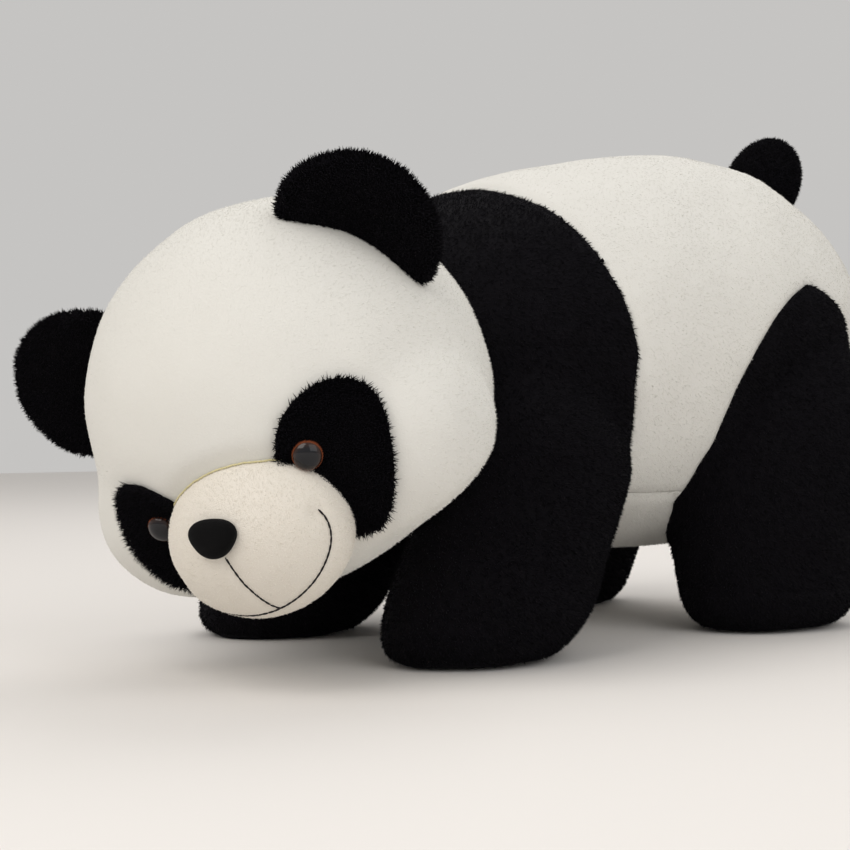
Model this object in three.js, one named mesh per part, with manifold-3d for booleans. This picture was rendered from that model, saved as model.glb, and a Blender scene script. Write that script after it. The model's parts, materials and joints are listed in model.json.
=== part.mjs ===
// A large plush panda that stands on all fours with its head turned to its left.
// Millimetres. It faces -Y, its left side is +X, and its soles rest on Z = 0.
import * as THREE from 'three';
import { mergeVertices } from 'three/addons/utils/BufferGeometryUtils.js';
import Module from 'manifold-3d';

const wasm = await Module();
wasm.setup();

// ---------------------------------------------------------------- driving sizes

const cloth = 5; // backing and pile of a sewn skin
const seamGap = 0.4; // between two pieces that are sewn edge to edge
const fillGap = 0.6; // between a skin and the stuffing in it
const swingGap = 1.2; // round a piece that moves
const swingMargin = 3; // degrees of room past each stop

const torso = { front: -32, rear: 508, halfWidth: 159, belly: 60, shoulderTop: 318, rumpTop: 408 };
const bandRear = 114; // rear edge of the black shoulder band
const bellySeam = 104; // height of the seam round the belly panel
const torsoBoxiness = { front: 3, rear: 2.5 }; // 2 is an ellipsoid, more is squarer along the body

const foreleg = {
  x: 104, footY: 2, slant: 0.48, pivotZ: 120,
  sole: 52, paw: 75, pawZ: 34, root: 70, narrow: 0.8, swing: 8,
};
const hindleg = {
  x: 112, footY: 300, slant: 0.1, pivotZ: 130,
  sole: 54, paw: 80, pawZ: 34, root: 104, narrow: 0.65, swing: 8,
};
const pawRound = { width: 0.93, height: 0.4 }; // where the paw's side turns in, as shares of the paw
const soleThickness = 3;

const haunch = {
  innerX: 58, frontY: 202, rearY: 448, tipY: 328, tipZ: 264, lowZ: 110,
  frontBulge: 14, frontRise: 38, rearRise: 30,
};

const head = { radius: 128, x: 60, y: -112, z: 169, yaw: 33, pitch: 28, roll: -27 };
const neck = { sink: 28, collar: 60, wall: 8, room: 2.8, coreGap: 1.6, throat: 0.67, aimY: 80, aimZ: 200 };
const headSwing = { across: 25, along: 10, legs: 4 }; // room for the head as it moves on the neck

const muzzle = { sink: 11, droop: 15, halfWidth: 59, halfHeight: 52, halfDepth: 48 };
const nose = { halfWidth: 14.5, halfHeight: 12.5, thickness: 9, bevel: 0.4, rise: 0.54 };
// Drop, half width and lift are shares of the muzzle.
const smile = { gap: 2, philtrumDrop: 0.84, halfWidth: 0.865, lift: 0.86, thread: 0.9 };
const seamThread = { radius: 0.8, spread: 40 };

const patch = { x: 0.485, z: -0.117, halfWidth: 28, halfHeight: 50, tilt: -14, thickness: 3 };
const eye = { azimuth: 26, dome: 9, rim: 1, height: 6, shank: 2.5, shankLength: 16 };
const washer = { radius: 9, bore: 3, thickness: 2, seat: 2.2, slack: 1 };

const ear = { azimuth: 55.4, rise: 6, halfWidth: 54, height: 52, halfDepth: 14, lean: 14, fold: 14 };
const tail = { y: 432, z: 338, radius: 31, length: 92, out: 0.7, lean: 56, wag: 14 };

// ---------------------------------------------------------------- shared tools

const degrees = THREE.MathUtils.degToRad;

// A closed three.js geometry as a solid that can be joined and cut.
function solid(geometry) {
  const g = geometry.clone();
  for (const name of Object.keys(g.attributes)) {
    if (name !== 'position') g.deleteAttribute(name);
  }
  const merged = mergeVertices(g, 1e-3);
  return new wasm.Manifold(new wasm.Mesh({
    numProp: 3,
    vertProperties: merged.attributes.position.array,
    triVerts: new Uint32Array(merged.index.array),
  }));
}

function geometryOf(body) {
  const mesh = body.getMesh();
  const positions = new Float32Array(mesh.numVert * 3);
  for (let i = 0; i < mesh.numVert; i++) {
    const start = i * mesh.numProp;
    positions.set(mesh.vertProperties.subarray(start, start + 3), i * 3);
  }
  const g = new THREE.BufferGeometry();
  g.setAttribute('position', new THREE.BufferAttribute(positions, 3));
  g.setIndex(new THREE.BufferAttribute(new Uint32Array(mesh.triVerts), 1));
  g.computeVertexNormals();
  return g;
}

function moved(geometry, x, y, z) {
  return geometry.clone().translate(x, y, z);
}

// The same form, smaller by `by` on every side of its box.
function shrunk(geometry, by) {
  const g = geometry.clone();
  g.computeBoundingBox();
  const size = g.boundingBox.getSize(new THREE.Vector3());
  const middle = g.boundingBox.getCenter(new THREE.Vector3());
  g.translate(-middle.x, -middle.y, -middle.z);
  g.scale((size.x - 2 * by) / size.x, (size.y - 2 * by) / size.y, (size.z - 2 * by) / size.z);
  return g.translate(middle.x, middle.y, middle.z);
}

// A form at rest and at both stops, as it turns about an axis through `pivot`.
function swept(geometry, pivot, axis, limit) {
  let all = null;
  for (const angle of [-limit, 0, limit]) {
    const turn = new THREE.Matrix4()
      .makeTranslation(pivot.x, pivot.y, pivot.z)
      .multiply(new THREE.Matrix4().makeRotationAxis(axis, degrees(angle)))
      .multiply(new THREE.Matrix4().makeTranslation(-pivot.x, -pivot.y, -pivot.z));
    const turned = solid(geometry.clone().applyMatrix4(turn));
    all = all ? all.add(turned) : turned;
  }
  return all;
}

function block(lowX, highX, lowY, highY, lowZ, highZ) {
  const g = new THREE.BoxGeometry(highX - lowX, highY - lowY, highZ - lowZ);
  return solid(g.translate((lowX + highX) / 2, (lowY + highY) / 2, (lowZ + highZ) / 2));
}

function ball(radius, across = 16) {
  return new THREE.SphereGeometry(radius, across, Math.round(across * 0.6));
}

// A rod along local Y, from `start` to `end`.
function rod(radius, start, end) {
  return new THREE.CylinderGeometry(radius, radius, end - start, 12).translate(0, (start + end) / 2, 0);
}

// A thread that follows a curve.
function thread(curve, radius, steps) {
  const section = new THREE.Shape().absarc(0, 0, radius, 0, Math.PI * 2);
  return new THREE.ExtrudeGeometry(section, {
    steps, extrudePath: curve, curveSegments: 3, bevelEnabled: false,
  });
}

// ---------------------------------------------------------------- cloths and trims

function finish(name, color, roughness) {
  return new THREE.MeshStandardMaterial({ name, color, roughness, metalness: 0 });
}

const whitePlush = finish('white_plush', 0xe4e0d8, 0.95);
const blackPlush = finish('black_plush', 0x0c0a0e, 0.95);
const creamPlush = finish('cream_plush', 0xded4c6, 0.92);
const stuffing = finish('stuffing', 0xf4f3ee, 1);
const flock = finish('flock', 0x0a090b, 0.85);
const eyePlastic = finish('eye_plastic', 0x1a0d08, 0.08);
const washerPlastic = finish('washer_plastic', 0xe8e6e0, 0.5);
const blackThread = finish('black_thread', 0x0b0b0c, 0.7);
const yellowThread = finish('yellow_thread', 0xd8cf9a, 0.7);

const panda = new THREE.Group();
const headGroup = new THREE.Group();
headGroup.position.set(head.x, head.y, head.z);
headGroup.rotation.set(degrees(head.pitch), degrees(head.roll), degrees(head.yaw), 'ZXY');
panda.add(headGroup);
panda.updateMatrixWorld(true);

function addPiece(group, name, body, material) {
  const mesh = new THREE.Mesh(geometryOf(body), material);
  mesh.name = name;
  group.add(mesh);
}

// ---------------------------------------------------------------- torso form

// Centre, half height and half width of the body at y.
function torsoSection(y) {
  const middle = (torso.front + torso.rear) / 2;
  const u = Math.abs(y - middle) / ((torso.rear - torso.front) / 2);
  const boxiness = y < middle ? torsoBoxiness.front : torsoBoxiness.rear;
  const fullness = Math.sqrt(Math.max(0, 1 - u ** boxiness));
  const along = (y - torso.front) / (torso.rear - torso.front);
  const top = THREE.MathUtils.lerp(torso.shoulderTop, torso.rumpTop, along);
  return {
    centre: (top + torso.belly) / 2,
    halfHeight: ((top - torso.belly) / 2) * fullness,
    halfWidth: torso.halfWidth * fullness,
  };
}

function torsoForm(rings = 11, around = 20) {
  const middle = (torso.front + torso.rear) / 2;
  const half = (torso.rear - torso.front) / 2;
  const profile = [];
  for (let i = 0; i <= rings; i++) {
    const inside = i > 0 && i < rings;
    profile.push(new THREE.Vector2(inside ? 1 : 0, middle - half * Math.cos((Math.PI * i) / rings)));
  }
  const g = new THREE.LatheGeometry(profile, around);
  const p = g.attributes.position;
  for (let i = 0; i < p.count; i++) {
    const s = torsoSection(p.getY(i));
    p.setX(i, p.getX(i) * s.halfWidth);
    p.setZ(i, s.centre + p.getZ(i) * s.halfHeight);
  }
  return g;
}

// ---------------------------------------------------------------- leg form

// A paw and its root, with a round top about the hinge line. `swing` widens it to the room
// that it needs as it swings that many degrees each way.
function legForm(leg, side, grow = 0, swing = 0) {
  const profile = [new THREE.Vector2(0, -grow), new THREE.Vector2(leg.sole + grow, -grow)];
  const flank = new THREE.SplineCurve([
    new THREE.Vector2(leg.sole + grow, -grow),
    new THREE.Vector2(leg.paw * pawRound.width + grow, leg.pawZ * pawRound.height),
    new THREE.Vector2(leg.paw + grow, leg.pawZ),
    new THREE.Vector2((leg.paw + leg.root) / 2 + grow, (leg.pawZ + leg.pivotZ) / 2),
    new THREE.Vector2(leg.root + grow, leg.pivotZ),
  ]);
  profile.push(...flank.getPoints(5).slice(1));
  for (let i = 1; i <= 4; i++) {
    const a = (Math.PI / 2) * (i / 4);
    const out = i < 4 ? (leg.root + grow) * Math.cos(a) : 0;
    profile.push(new THREE.Vector2(out, leg.pivotZ + (leg.root + grow) * Math.sin(a)));
  }
  const g = new THREE.LatheGeometry(profile, 14);
  g.rotateX(Math.PI / 2);
  g.scale(leg.narrow, 1, 1);
  const p = g.attributes.position;
  const reach = Math.tan(degrees(swing));
  for (let i = 0; i < p.count; i++) {
    const height = Math.min(p.getZ(i), leg.pivotZ);
    const facing = Math.abs(p.getY(i)) > 1e-3 ? Math.sign(p.getY(i)) : 0;
    const room = facing * (leg.pivotZ - height) * reach;
    p.setY(i, p.getY(i) + room + leg.footY + leg.slant * height);
    p.setX(i, p.getX(i) + side * leg.x);
  }
  return g;
}

function legPivot(leg, side) {
  return new THREE.Vector3(side * leg.x, leg.footY + leg.slant * leg.pivotZ, leg.pivotZ);
}

// ---------------------------------------------------------------- head and neck forms

const headCentre = new THREE.Vector3(head.x, head.y, head.z);
const neckAim = new THREE.Vector3(0, neck.aimY, neck.aimZ).sub(headCentre).normalize();
const neckPivot = headCentre.clone().addScaledVector(neckAim, head.radius - neck.sink);
const neckPivotInHead = headGroup.worldToLocal(neckPivot.clone());

// The room the head's ball needs: wide across the neck, tight along it.
function headRoom(extra) {
  const g = ball(1, 16).rotateX(Math.PI / 2);
  const wide = head.radius + headSwing.across + extra;
  g.scale(wide, wide, head.radius + headSwing.along + extra);
  const turn = new THREE.Quaternion().setFromUnitVectors(new THREE.Vector3(0, 0, 1), neckAim);
  g.applyQuaternion(turn);
  return solid(g.translate(head.x, head.y, head.z));
}

const neckRoom = solid(moved(ball(neck.collar + neck.room), neckPivot.x, neckPivot.y, neckPivot.z));
const neckRoomInHead = solid(moved(
  ball(neck.collar + neck.room), neckPivotInHead.x, neckPivotInHead.y, neckPivotInHead.z,
));

// ---------------------------------------------------------------- tail form

const tailRoot = new THREE.Vector3(0, tail.y, tail.z);

function tailForm(grow = 0) {
  const g = ball(1, 14);
  const half = tail.length / 2;
  g.scale(tail.radius + grow, half + grow, tail.radius + grow);
  g.translate(0, half * tail.out, 0);
  g.rotateX(degrees(tail.lean));
  return g.translate(tailRoot.x, tailRoot.y, tailRoot.z);
}

// ---------------------------------------------------------------- torso pieces

const legs = [
  { name: 'front_left', leg: foreleg, side: 1 },
  { name: 'front_right', leg: foreleg, side: -1 },
  { name: 'hind_left', leg: hindleg, side: 1 },
  { name: 'hind_right', leg: hindleg, side: -1 },
];
const upward = new THREE.Vector3(0, 0, 1);

// The pear outline of the black haunch on the flank, pushed through one side of the body.
function haunchBlock(side, grow) {
  const h = haunch;
  const outline = new THREE.Shape();
  outline.moveTo(h.frontY - grow, h.lowZ - grow);
  outline.quadraticCurveTo(
    h.frontY + h.frontBulge - grow, h.tipZ - h.frontRise + grow, h.tipY, h.tipZ + grow,
  );
  outline.quadraticCurveTo(
    h.rearY + grow, h.tipZ - h.rearRise + grow, h.rearY + grow, h.lowZ - grow,
  );
  outline.closePath();
  const g = new THREE.ExtrudeGeometry(outline, {
    depth: torso.halfWidth, curveSegments: 8, bevelEnabled: false,
  });
  g.applyMatrix4(new THREE.Matrix4().makeBasis(
    new THREE.Vector3(0, 1, 0), new THREE.Vector3(0, 0, 1), new THREE.Vector3(1, 0, 0),
  ));
  const start = side > 0 ? h.innerX - grow : -h.innerX + grow - torso.halfWidth;
  return solid(g.translate(start, 0, 0));
}

const torsoOuter = solid(torsoForm());
const sockets = legs
  .map(({ leg, side }) => solid(legForm(leg, side, 2 * swingGap, leg.swing + swingMargin)))
  .reduce((all, one) => all.add(one));
const tailSocket = swept(tailForm(swingGap), tailRoot, upward, tail.wag);
const freeSpace = sockets.add(neckRoom).add(headRoom(swingGap));

const torsoSkin = torsoOuter
  .subtract(solid(shrunk(torsoForm(), cloth)))
  .subtract(freeSpace)
  .subtract(tailSocket);
const far = 2 * torso.rear; // past every face of the body
const bandBlock = block(-far, far, -far, bandRear, -far, far);
const rearBlock = block(-far, far, bandRear + seamGap, far, -far, far);
const lowBlock = block(-far, far, -far, far, -far, bellySeam - seamGap);
const highBlock = block(-far, far, -far, far, bellySeam, far);
const haunches = haunchBlock(1, seamGap).add(haunchBlock(-1, seamGap));
const highRear = torsoSkin.intersect(rearBlock).intersect(highBlock);

addPiece(panda, 'torso_skin', highRear.subtract(haunches), whitePlush);
addPiece(panda, 'shoulder_band', torsoSkin.intersect(bandBlock), blackPlush);
addPiece(panda, 'belly_panel', torsoSkin.intersect(rearBlock).intersect(lowBlock), whitePlush);
addPiece(panda, 'haunch_left', highRear.intersect(haunchBlock(1, 0)), blackPlush);
addPiece(panda, 'haunch_right', highRear.intersect(haunchBlock(-1, 0)), blackPlush);
addPiece(
  panda,
  'torso_stuffing',
  solid(shrunk(torsoForm(), cloth + fillGap)).subtract(freeSpace).subtract(tailSocket),
  stuffing,
);

// ---------------------------------------------------------------- legs

const headRoomForLegs = headRoom(swingGap + headSwing.legs);

for (const { name, leg, side } of legs) {
  const pivot = legPivot(leg, side);
  const legGroup = new THREE.Group();
  legGroup.position.copy(pivot);
  panda.add(legGroup);
  const away = (body) => solid(geometryOf(body).translate(-pivot.x, -pivot.y, -pivot.z));

  const whole = legForm(leg, side);
  const inner = solid(shrunk(whole, cloth));
  // An oval disc under this leg, `inset` in from the sole's edge, between two heights.
  const disc = (inset, low, high) => solid(
    new THREE.CylinderGeometry(leg.sole - inset, leg.sole - inset, high - low, 16)
      .rotateX(Math.PI / 2)
      .scale(leg.narrow, 1, 1)
      .translate(side * leg.x, leg.footY, (low + high) / 2),
  );
  const soleCut = disc(cloth, -cloth, cloth + fillGap);
  const soleDisc = disc(cloth + seamGap, 0, soleThickness);
  const sleeve = solid(whole)
    .subtract(inner)
    .subtract(soleCut)
    .subtract(torsoOuter)
    .subtract(headRoomForLegs);
  const fill = solid(shrunk(whole, cloth + fillGap)).subtract(headRoomForLegs);

  addPiece(legGroup, `${name}_leg_skin`, away(sleeve), blackPlush);
  addPiece(legGroup, `${name}_sole`, away(soleDisc), blackPlush);
  addPiece(legGroup, `${name}_leg_stuffing`, away(fill), stuffing);
}

// ---------------------------------------------------------------- neck

const neckGroup = new THREE.Group();
neckGroup.position.copy(neckPivot);
neckGroup.quaternion.setFromUnitVectors(new THREE.Vector3(0, 1, 0), neckAim);
panda.add(neckGroup);

const neckCore = neck.collar - neck.wall;
const collar = solid(ball(neck.collar))
  .subtract(solid(ball(neckCore + neck.coreGap)))
  .subtract(solid(rod(neck.throat * neck.collar, -2 * neck.collar, 2 * neck.collar)));
addPiece(neckGroup, 'neck_collar', collar, blackPlush);
addPiece(neckGroup, 'neck_stuffing', solid(ball(neckCore)), stuffing);

// ---------------------------------------------------------------- head

// In the head's own frame the face looks along -Y, its left is +X, and its crown is +Z.
const headFacets = 20;
const headBall = ball(head.radius, headFacets);

// Turns a form that stands on the ball's pole (+Y) out to a place on the face.
function onFace(geometry, azimuth, elevation, radius) {
  const turn = new THREE.Matrix4()
    .makeRotationZ(degrees(azimuth))
    .multiply(new THREE.Matrix4().makeRotationX(degrees(-elevation)));
  return geometry.clone().rotateX(Math.PI).translate(0, -radius, 0).applyMatrix4(turn);
}

const eyeTurns = [
  { name: 'left', side: 1 },
  { name: 'right', side: -1 },
];
const boreDepth = eye.shankLength + washer.thickness;
const shankBore = rod(washer.bore, -boreDepth, eye.height + patch.thickness);
const washerRoom = rod(washer.radius + washer.slack, -boreDepth, washer.slack - cloth);

let faceBores = null;
let washerRooms = null;
for (const { side } of eyeTurns) {
  const bore = solid(onFace(shankBore, side * eye.azimuth, 0, head.radius));
  const room = solid(onFace(washerRoom, side * eye.azimuth, 0, head.radius));
  faceBores = faceBores ? faceBores.add(bore) : bore;
  washerRooms = washerRooms ? washerRooms.add(room) : room;
}

const headSkin = solid(headBall)
  .subtract(solid(shrunk(headBall, cloth)))
  .subtract(neckRoomInHead)
  .subtract(faceBores);
const headFill = solid(shrunk(headBall, cloth + fillGap))
  .subtract(neckRoomInHead)
  .subtract(washerRooms);
addPiece(headGroup, 'head_skin', headSkin, whitePlush);
addPiece(headGroup, 'head_stuffing', headFill, stuffing);

// ---------------------------------------------------------------- muzzle

const droop = degrees(muzzle.droop);
const muzzleReach = head.radius - muzzle.sink;
const muzzleCentre = new THREE.Vector3(
  0, -muzzleReach * Math.cos(droop), -muzzleReach * Math.sin(droop),
);

function muzzleForm(shrink) {
  const g = ball(1, 18);
  g.scale(muzzle.halfWidth - shrink, muzzle.halfDepth - shrink, muzzle.halfHeight - shrink);
  return g.translate(muzzleCentre.x, muzzleCentre.y, muzzleCentre.z);
}

// A point on the muzzle, seen from straight ahead at (x, z) from its middle.
function onMuzzle(x, z, lift) {
  const a = x / (muzzle.halfWidth + lift);
  const b = z / (muzzle.halfHeight + lift);
  const depth = Math.sqrt(Math.max(0, 1 - a * a - b * b)) * (muzzle.halfDepth + lift);
  return new THREE.Vector3(x, muzzleCentre.y - depth, muzzleCentre.z + z);
}

const headKeepOut = solid(ball(head.radius + seamGap, headFacets));
const noseRise = nose.rise * muzzle.halfHeight;
const noseSpot = onMuzzle(0, noseRise, 0);
const noseTilt = Math.atan2(
  noseRise / muzzle.halfHeight ** 2,
  (muzzleCentre.y - noseSpot.y) / muzzle.halfDepth ** 2,
);

// Stands a form made round local Y square on the muzzle, at the nose.
function atNose(geometry) {
  return solid(geometry.clone().rotateX(-noseTilt).translate(noseSpot.x, noseSpot.y, noseSpot.z));
}
const noseBore = atNose(rod(washer.bore, -nose.thickness, boreDepth));
const noseRoom = atNose(rod(washer.radius + washer.slack, cloth - washer.thickness, boreDepth));

addPiece(
  headGroup,
  'muzzle_skin',
  solid(muzzleForm(0)).subtract(solid(muzzleForm(cloth))).subtract(headKeepOut).subtract(noseBore),
  creamPlush,
);
addPiece(
  headGroup,
  'muzzle_stuffing',
  solid(muzzleForm(cloth + fillGap)).subtract(headKeepOut).subtract(noseRoom),
  stuffing,
);

// The seam thread lies in the groove between the muzzle and the brow.
const threadRoom = seamThread.radius + seamGap;
function groovePoint(angle) {
  let low = 0;
  let high = 1;
  let place = null;
  for (let i = 0; i < 24; i++) {
    const t = (low + high) / 2;
    const out = Math.sin((t * Math.PI) / 2);
    place = new THREE.Vector3(
      Math.sin(angle) * out * (muzzle.halfWidth + threadRoom),
      muzzleCentre.y - (muzzle.halfDepth + threadRoom) * Math.cos((t * Math.PI) / 2),
      muzzleCentre.z + Math.cos(angle) * out * (muzzle.halfHeight + threadRoom),
    );
    if (place.length() > head.radius + patch.thickness + seamGap + threadRoom) low = t;
    else high = t;
  }
  return place;
}
const groove = [];
for (let i = -5; i <= 5; i++) groove.push(groovePoint(degrees((seamThread.spread * i) / 5)));
addPiece(
  headGroup,
  'muzzle_seam_thread',
  solid(thread(new THREE.CatmullRomCurve3(groove), seamThread.radius, 14)),
  yellowThread,
);

// ---------------------------------------------------------------- eyes and their patches

const muzzleKeepOut = solid(muzzleForm(-seamGap));

function patchPiece(side) {
  const outline = new THREE.Shape()
    .absellipse(0, 0, patch.halfWidth, patch.halfHeight, 0, Math.PI * 2, false, 0);
  const prism = new THREE.ExtrudeGeometry(outline, {
    depth: head.radius + 2 * patch.thickness, curveSegments: 12, bevelEnabled: false,
  });
  prism.rotateZ(degrees(side * patch.tilt));
  prism.rotateX(Math.PI / 2);
  prism.translate(side * patch.x * head.radius, 0, patch.z * head.radius);
  return solid(ball(head.radius + seamGap + patch.thickness, headFacets))
    .subtract(headKeepOut)
    .intersect(solid(prism))
    .subtract(muzzleKeepOut)
    .subtract(faceBores);
}

// A domed eye with its rim flat on the patch and a shank through the skin.
function eyeForm() {
  const seat = seamGap * 2 + patch.thickness;
  const profile = [
    new THREE.Vector2(0, -eye.shankLength),
    new THREE.Vector2(eye.shank, -eye.shankLength),
    new THREE.Vector2(eye.shank, seat),
    new THREE.Vector2(eye.dome, seat),
    new THREE.Vector2(eye.dome, seat + eye.rim),
  ];
  for (let i = 1; i <= 6; i++) {
    const a = (Math.PI / 2) * (i / 6);
    const out = i < 6 ? eye.dome * Math.cos(a) : 0;
    profile.push(new THREE.Vector2(out, seat + eye.rim + eye.height * Math.sin(a)));
  }
  return new THREE.LatheGeometry(profile, 12);
}

function washerForm() {
  const low = -washer.thickness;
  return new THREE.LatheGeometry([
    new THREE.Vector2(washer.bore, low),
    new THREE.Vector2(washer.radius, low),
    new THREE.Vector2(washer.radius, 0),
    new THREE.Vector2(washer.bore, 0),
    new THREE.Vector2(washer.bore, low),
  ], 12);
}

for (const { name, side } of eyeTurns) {
  const azimuth = side * eye.azimuth;
  addPiece(headGroup, `eye_patch_${name}`, patchPiece(side), blackPlush);
  addPiece(headGroup, `eye_${name}`, solid(onFace(eyeForm(), azimuth, 0, head.radius)), eyePlastic);
  addPiece(
    headGroup,
    `eye_washer_${name}`,
    solid(onFace(washerForm(), azimuth, 0, head.radius - cloth - washer.seat)),
    washerPlastic,
  );
}

// ---------------------------------------------------------------- nose

// A rounded triangle, point down, with a shank behind it.
function noseForm() {
  const w = nose.halfWidth;
  const h = nose.halfHeight;
  const outline = new THREE.Shape();
  outline.moveTo(0, -h);
  outline.bezierCurveTo(w * 0.5, -h, w, 0, w, h * 0.45);
  outline.bezierCurveTo(w, h * 1.15, -w, h * 1.15, -w, h * 0.45);
  outline.bezierCurveTo(-w, 0, -w * 0.5, -h, 0, -h);
  const bevel = nose.thickness * nose.bevel;
  const g = new THREE.ExtrudeGeometry(outline, {
    depth: nose.thickness - 2 * bevel, curveSegments: 5, bevelEnabled: true,
    bevelThickness: bevel, bevelSize: bevel, bevelOffset: -bevel, bevelSegments: 2,
  });
  g.translate(0, 0, bevel);
  return g.rotateX(Math.PI / 2);
}

const noseShank = atNose(rod(eye.shank, -nose.thickness * nose.bevel, eye.shankLength));
addPiece(headGroup, 'nose', atNose(noseForm()).subtract(muzzleKeepOut).add(noseShank), flock);
addPiece(
  headGroup,
  'nose_washer',
  atNose(moved(washerForm(), 0, cloth + washer.seat + washer.thickness + washer.slack, 0)),
  washerPlastic,
);

// ---------------------------------------------------------------- mouth

const threadLift = smile.thread + seamGap;
const philtrumTop = noseRise - nose.halfHeight - smile.gap;
const philtrumDrop = smile.philtrumDrop * muzzle.halfHeight;
const philtrum = [];
for (let i = 0; i <= 6; i++) {
  philtrum.push(onMuzzle(0, philtrumTop - (philtrumDrop * i) / 6, threadLift));
}
const lips = [];
for (let i = -6; i <= 6; i++) {
  const t = i / 6;
  const z = philtrumTop - philtrumDrop + smile.lift * muzzle.halfHeight * t * t;
  lips.push(onMuzzle(smile.halfWidth * muzzle.halfWidth * t, z, threadLift));
}
addPiece(
  headGroup,
  'mouth_thread',
  solid(thread(new THREE.CatmullRomCurve3(philtrum), smile.thread, 8))
    .add(solid(thread(new THREE.CatmullRomCurve3(lips), smile.thread, 16))),
  blackThread,
);

// ---------------------------------------------------------------- ears

for (const { name, side } of eyeTurns) {
  const lean = degrees(side * ear.azimuth);
  const out = new THREE.Vector3(Math.sin(lean), 0, Math.cos(lean));
  const base = out.clone().multiplyScalar(head.radius);
  const along = new THREE.Vector3(Math.cos(lean), 0, -Math.sin(lean));

  const lobe = ball(1, 16);
  lobe.scale(ear.halfWidth, ear.halfDepth, ear.height);
  lobe.translate(0, 0, ear.rise);
  lobe.rotateX(degrees(ear.lean));
  lobe.translate(0, 0, head.radius);
  lobe.rotateY(lean);
  const clear = swept(ball(head.radius + swingGap, headFacets), base, along, ear.fold);
  const form = solid(lobe).subtract(clear);
  const hollow = solid(shrunk(lobe, cloth));
  const wadding = solid(shrunk(lobe, cloth + fillGap)).subtract(clear);
  const skin = form.subtract(hollow);

  const half = new THREE.BoxGeometry(6 * ear.height, ear.height, 6 * ear.height);
  const offset = ear.height / 2 + seamGap / 2;
  const front = skin.intersect(solid(moved(half, 0, -offset, 0)));
  const back = skin.intersect(solid(moved(half, 0, offset, 0)));
  addPiece(headGroup, `ear_front_${name}`, front, blackPlush);
  addPiece(headGroup, `ear_back_${name}`, back, blackPlush);
  addPiece(headGroup, `ear_wadding_${name}`, wadding, stuffing);
}

// ---------------------------------------------------------------- tail

const tailGroup = new THREE.Group();
tailGroup.position.copy(tailRoot);
panda.add(tailGroup);
const fromTailRoot = (body) => solid(
  geometryOf(body).translate(-tailRoot.x, -tailRoot.y, -tailRoot.z),
);
const tailSkin = solid(tailForm())
  .subtract(solid(shrunk(tailForm(), cloth)))
  .subtract(torsoOuter);
const tailFill = solid(shrunk(tailForm(), cloth + fillGap));
addPiece(tailGroup, 'tail_skin', fromTailRoot(tailSkin), blackPlush);
addPiece(tailGroup, 'tail_stuffing', fromTailRoot(tailFill), stuffing);

// The origin is at the middle of the footprint, on the floor.
panda.updateMatrixWorld(true);
const box = new THREE.Box3().setFromObject(panda, true);
panda.position.set(-(box.min.x + box.max.x) / 2, -(box.min.y + box.max.y) / 2, -box.min.z);

export default panda;
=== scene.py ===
# %% [markdown]
# A large plush panda, standing on all fours. The design, with its sizes and joints, is fixed
# and comes in as the frame. This lesson sews its cloth: one stuffed body form cut into
# panels, a head with a muzzle, ears, patches, eyes and nose, and a short pile over it all.

# %% Load the frame
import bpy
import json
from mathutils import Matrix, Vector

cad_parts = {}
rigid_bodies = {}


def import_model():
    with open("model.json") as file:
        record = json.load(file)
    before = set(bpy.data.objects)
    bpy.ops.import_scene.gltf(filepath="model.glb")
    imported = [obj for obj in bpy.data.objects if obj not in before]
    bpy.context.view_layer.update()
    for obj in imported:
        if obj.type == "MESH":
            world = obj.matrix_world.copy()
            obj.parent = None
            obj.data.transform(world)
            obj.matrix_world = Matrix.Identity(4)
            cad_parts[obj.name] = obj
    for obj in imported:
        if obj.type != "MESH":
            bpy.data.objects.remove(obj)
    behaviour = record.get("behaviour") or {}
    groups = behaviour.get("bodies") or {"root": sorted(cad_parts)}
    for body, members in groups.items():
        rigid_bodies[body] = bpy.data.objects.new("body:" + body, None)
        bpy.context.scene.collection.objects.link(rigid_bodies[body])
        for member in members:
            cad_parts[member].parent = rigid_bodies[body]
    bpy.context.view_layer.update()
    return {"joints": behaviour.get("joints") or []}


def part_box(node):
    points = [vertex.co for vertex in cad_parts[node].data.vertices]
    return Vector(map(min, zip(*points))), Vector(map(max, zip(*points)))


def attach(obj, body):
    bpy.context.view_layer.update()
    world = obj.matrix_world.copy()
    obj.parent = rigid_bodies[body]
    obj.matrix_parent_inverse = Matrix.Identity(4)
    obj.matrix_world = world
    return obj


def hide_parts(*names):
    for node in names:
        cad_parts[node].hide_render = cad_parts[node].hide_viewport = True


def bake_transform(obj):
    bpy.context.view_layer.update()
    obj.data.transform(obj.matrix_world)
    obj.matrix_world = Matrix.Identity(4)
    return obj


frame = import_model()

import json
import math

import bpy
import numpy as np
from mathutils import Matrix, Vector
from mathutils.bvhtree import BVHTree
from mathutils.kdtree import KDTree


# %% [markdown]
# The camera comes first. It stands low and to the panda's left, level with its muzzle, so
# that the face looks nearly into it and the body runs away to the right.

# %% Camera
MM = 0.001
LENS = 72.0
CAMERA_PLACE = Vector((0.897, -0.892, 0.153))
CAMERA_AIM = Vector((-0.744, 0.667, 0.0))

bpy.ops.object.camera_add(location=CAMERA_PLACE)
camera = bpy.context.object
camera.name = "camera"
camera.data.lens = LENS
camera.data.clip_start = 0.01
camera.rotation_euler = CAMERA_AIM.to_track_quat("-Z", "Y").to_euler()
bpy.context.scene.camera = camera
print("camera", tuple(round(v, 3) for v in CAMERA_PLACE))


# %% [markdown]
# The stage is one wide pale sheet under broad soft lights, so that nothing but the toy draws
# the eye. A big light from the front models the head, a weaker one fills the shadows, and
# one from above and behind lifts the edge of the black cloth.

# %% Stage and light
FLOOR_HALF = 4.0


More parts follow.
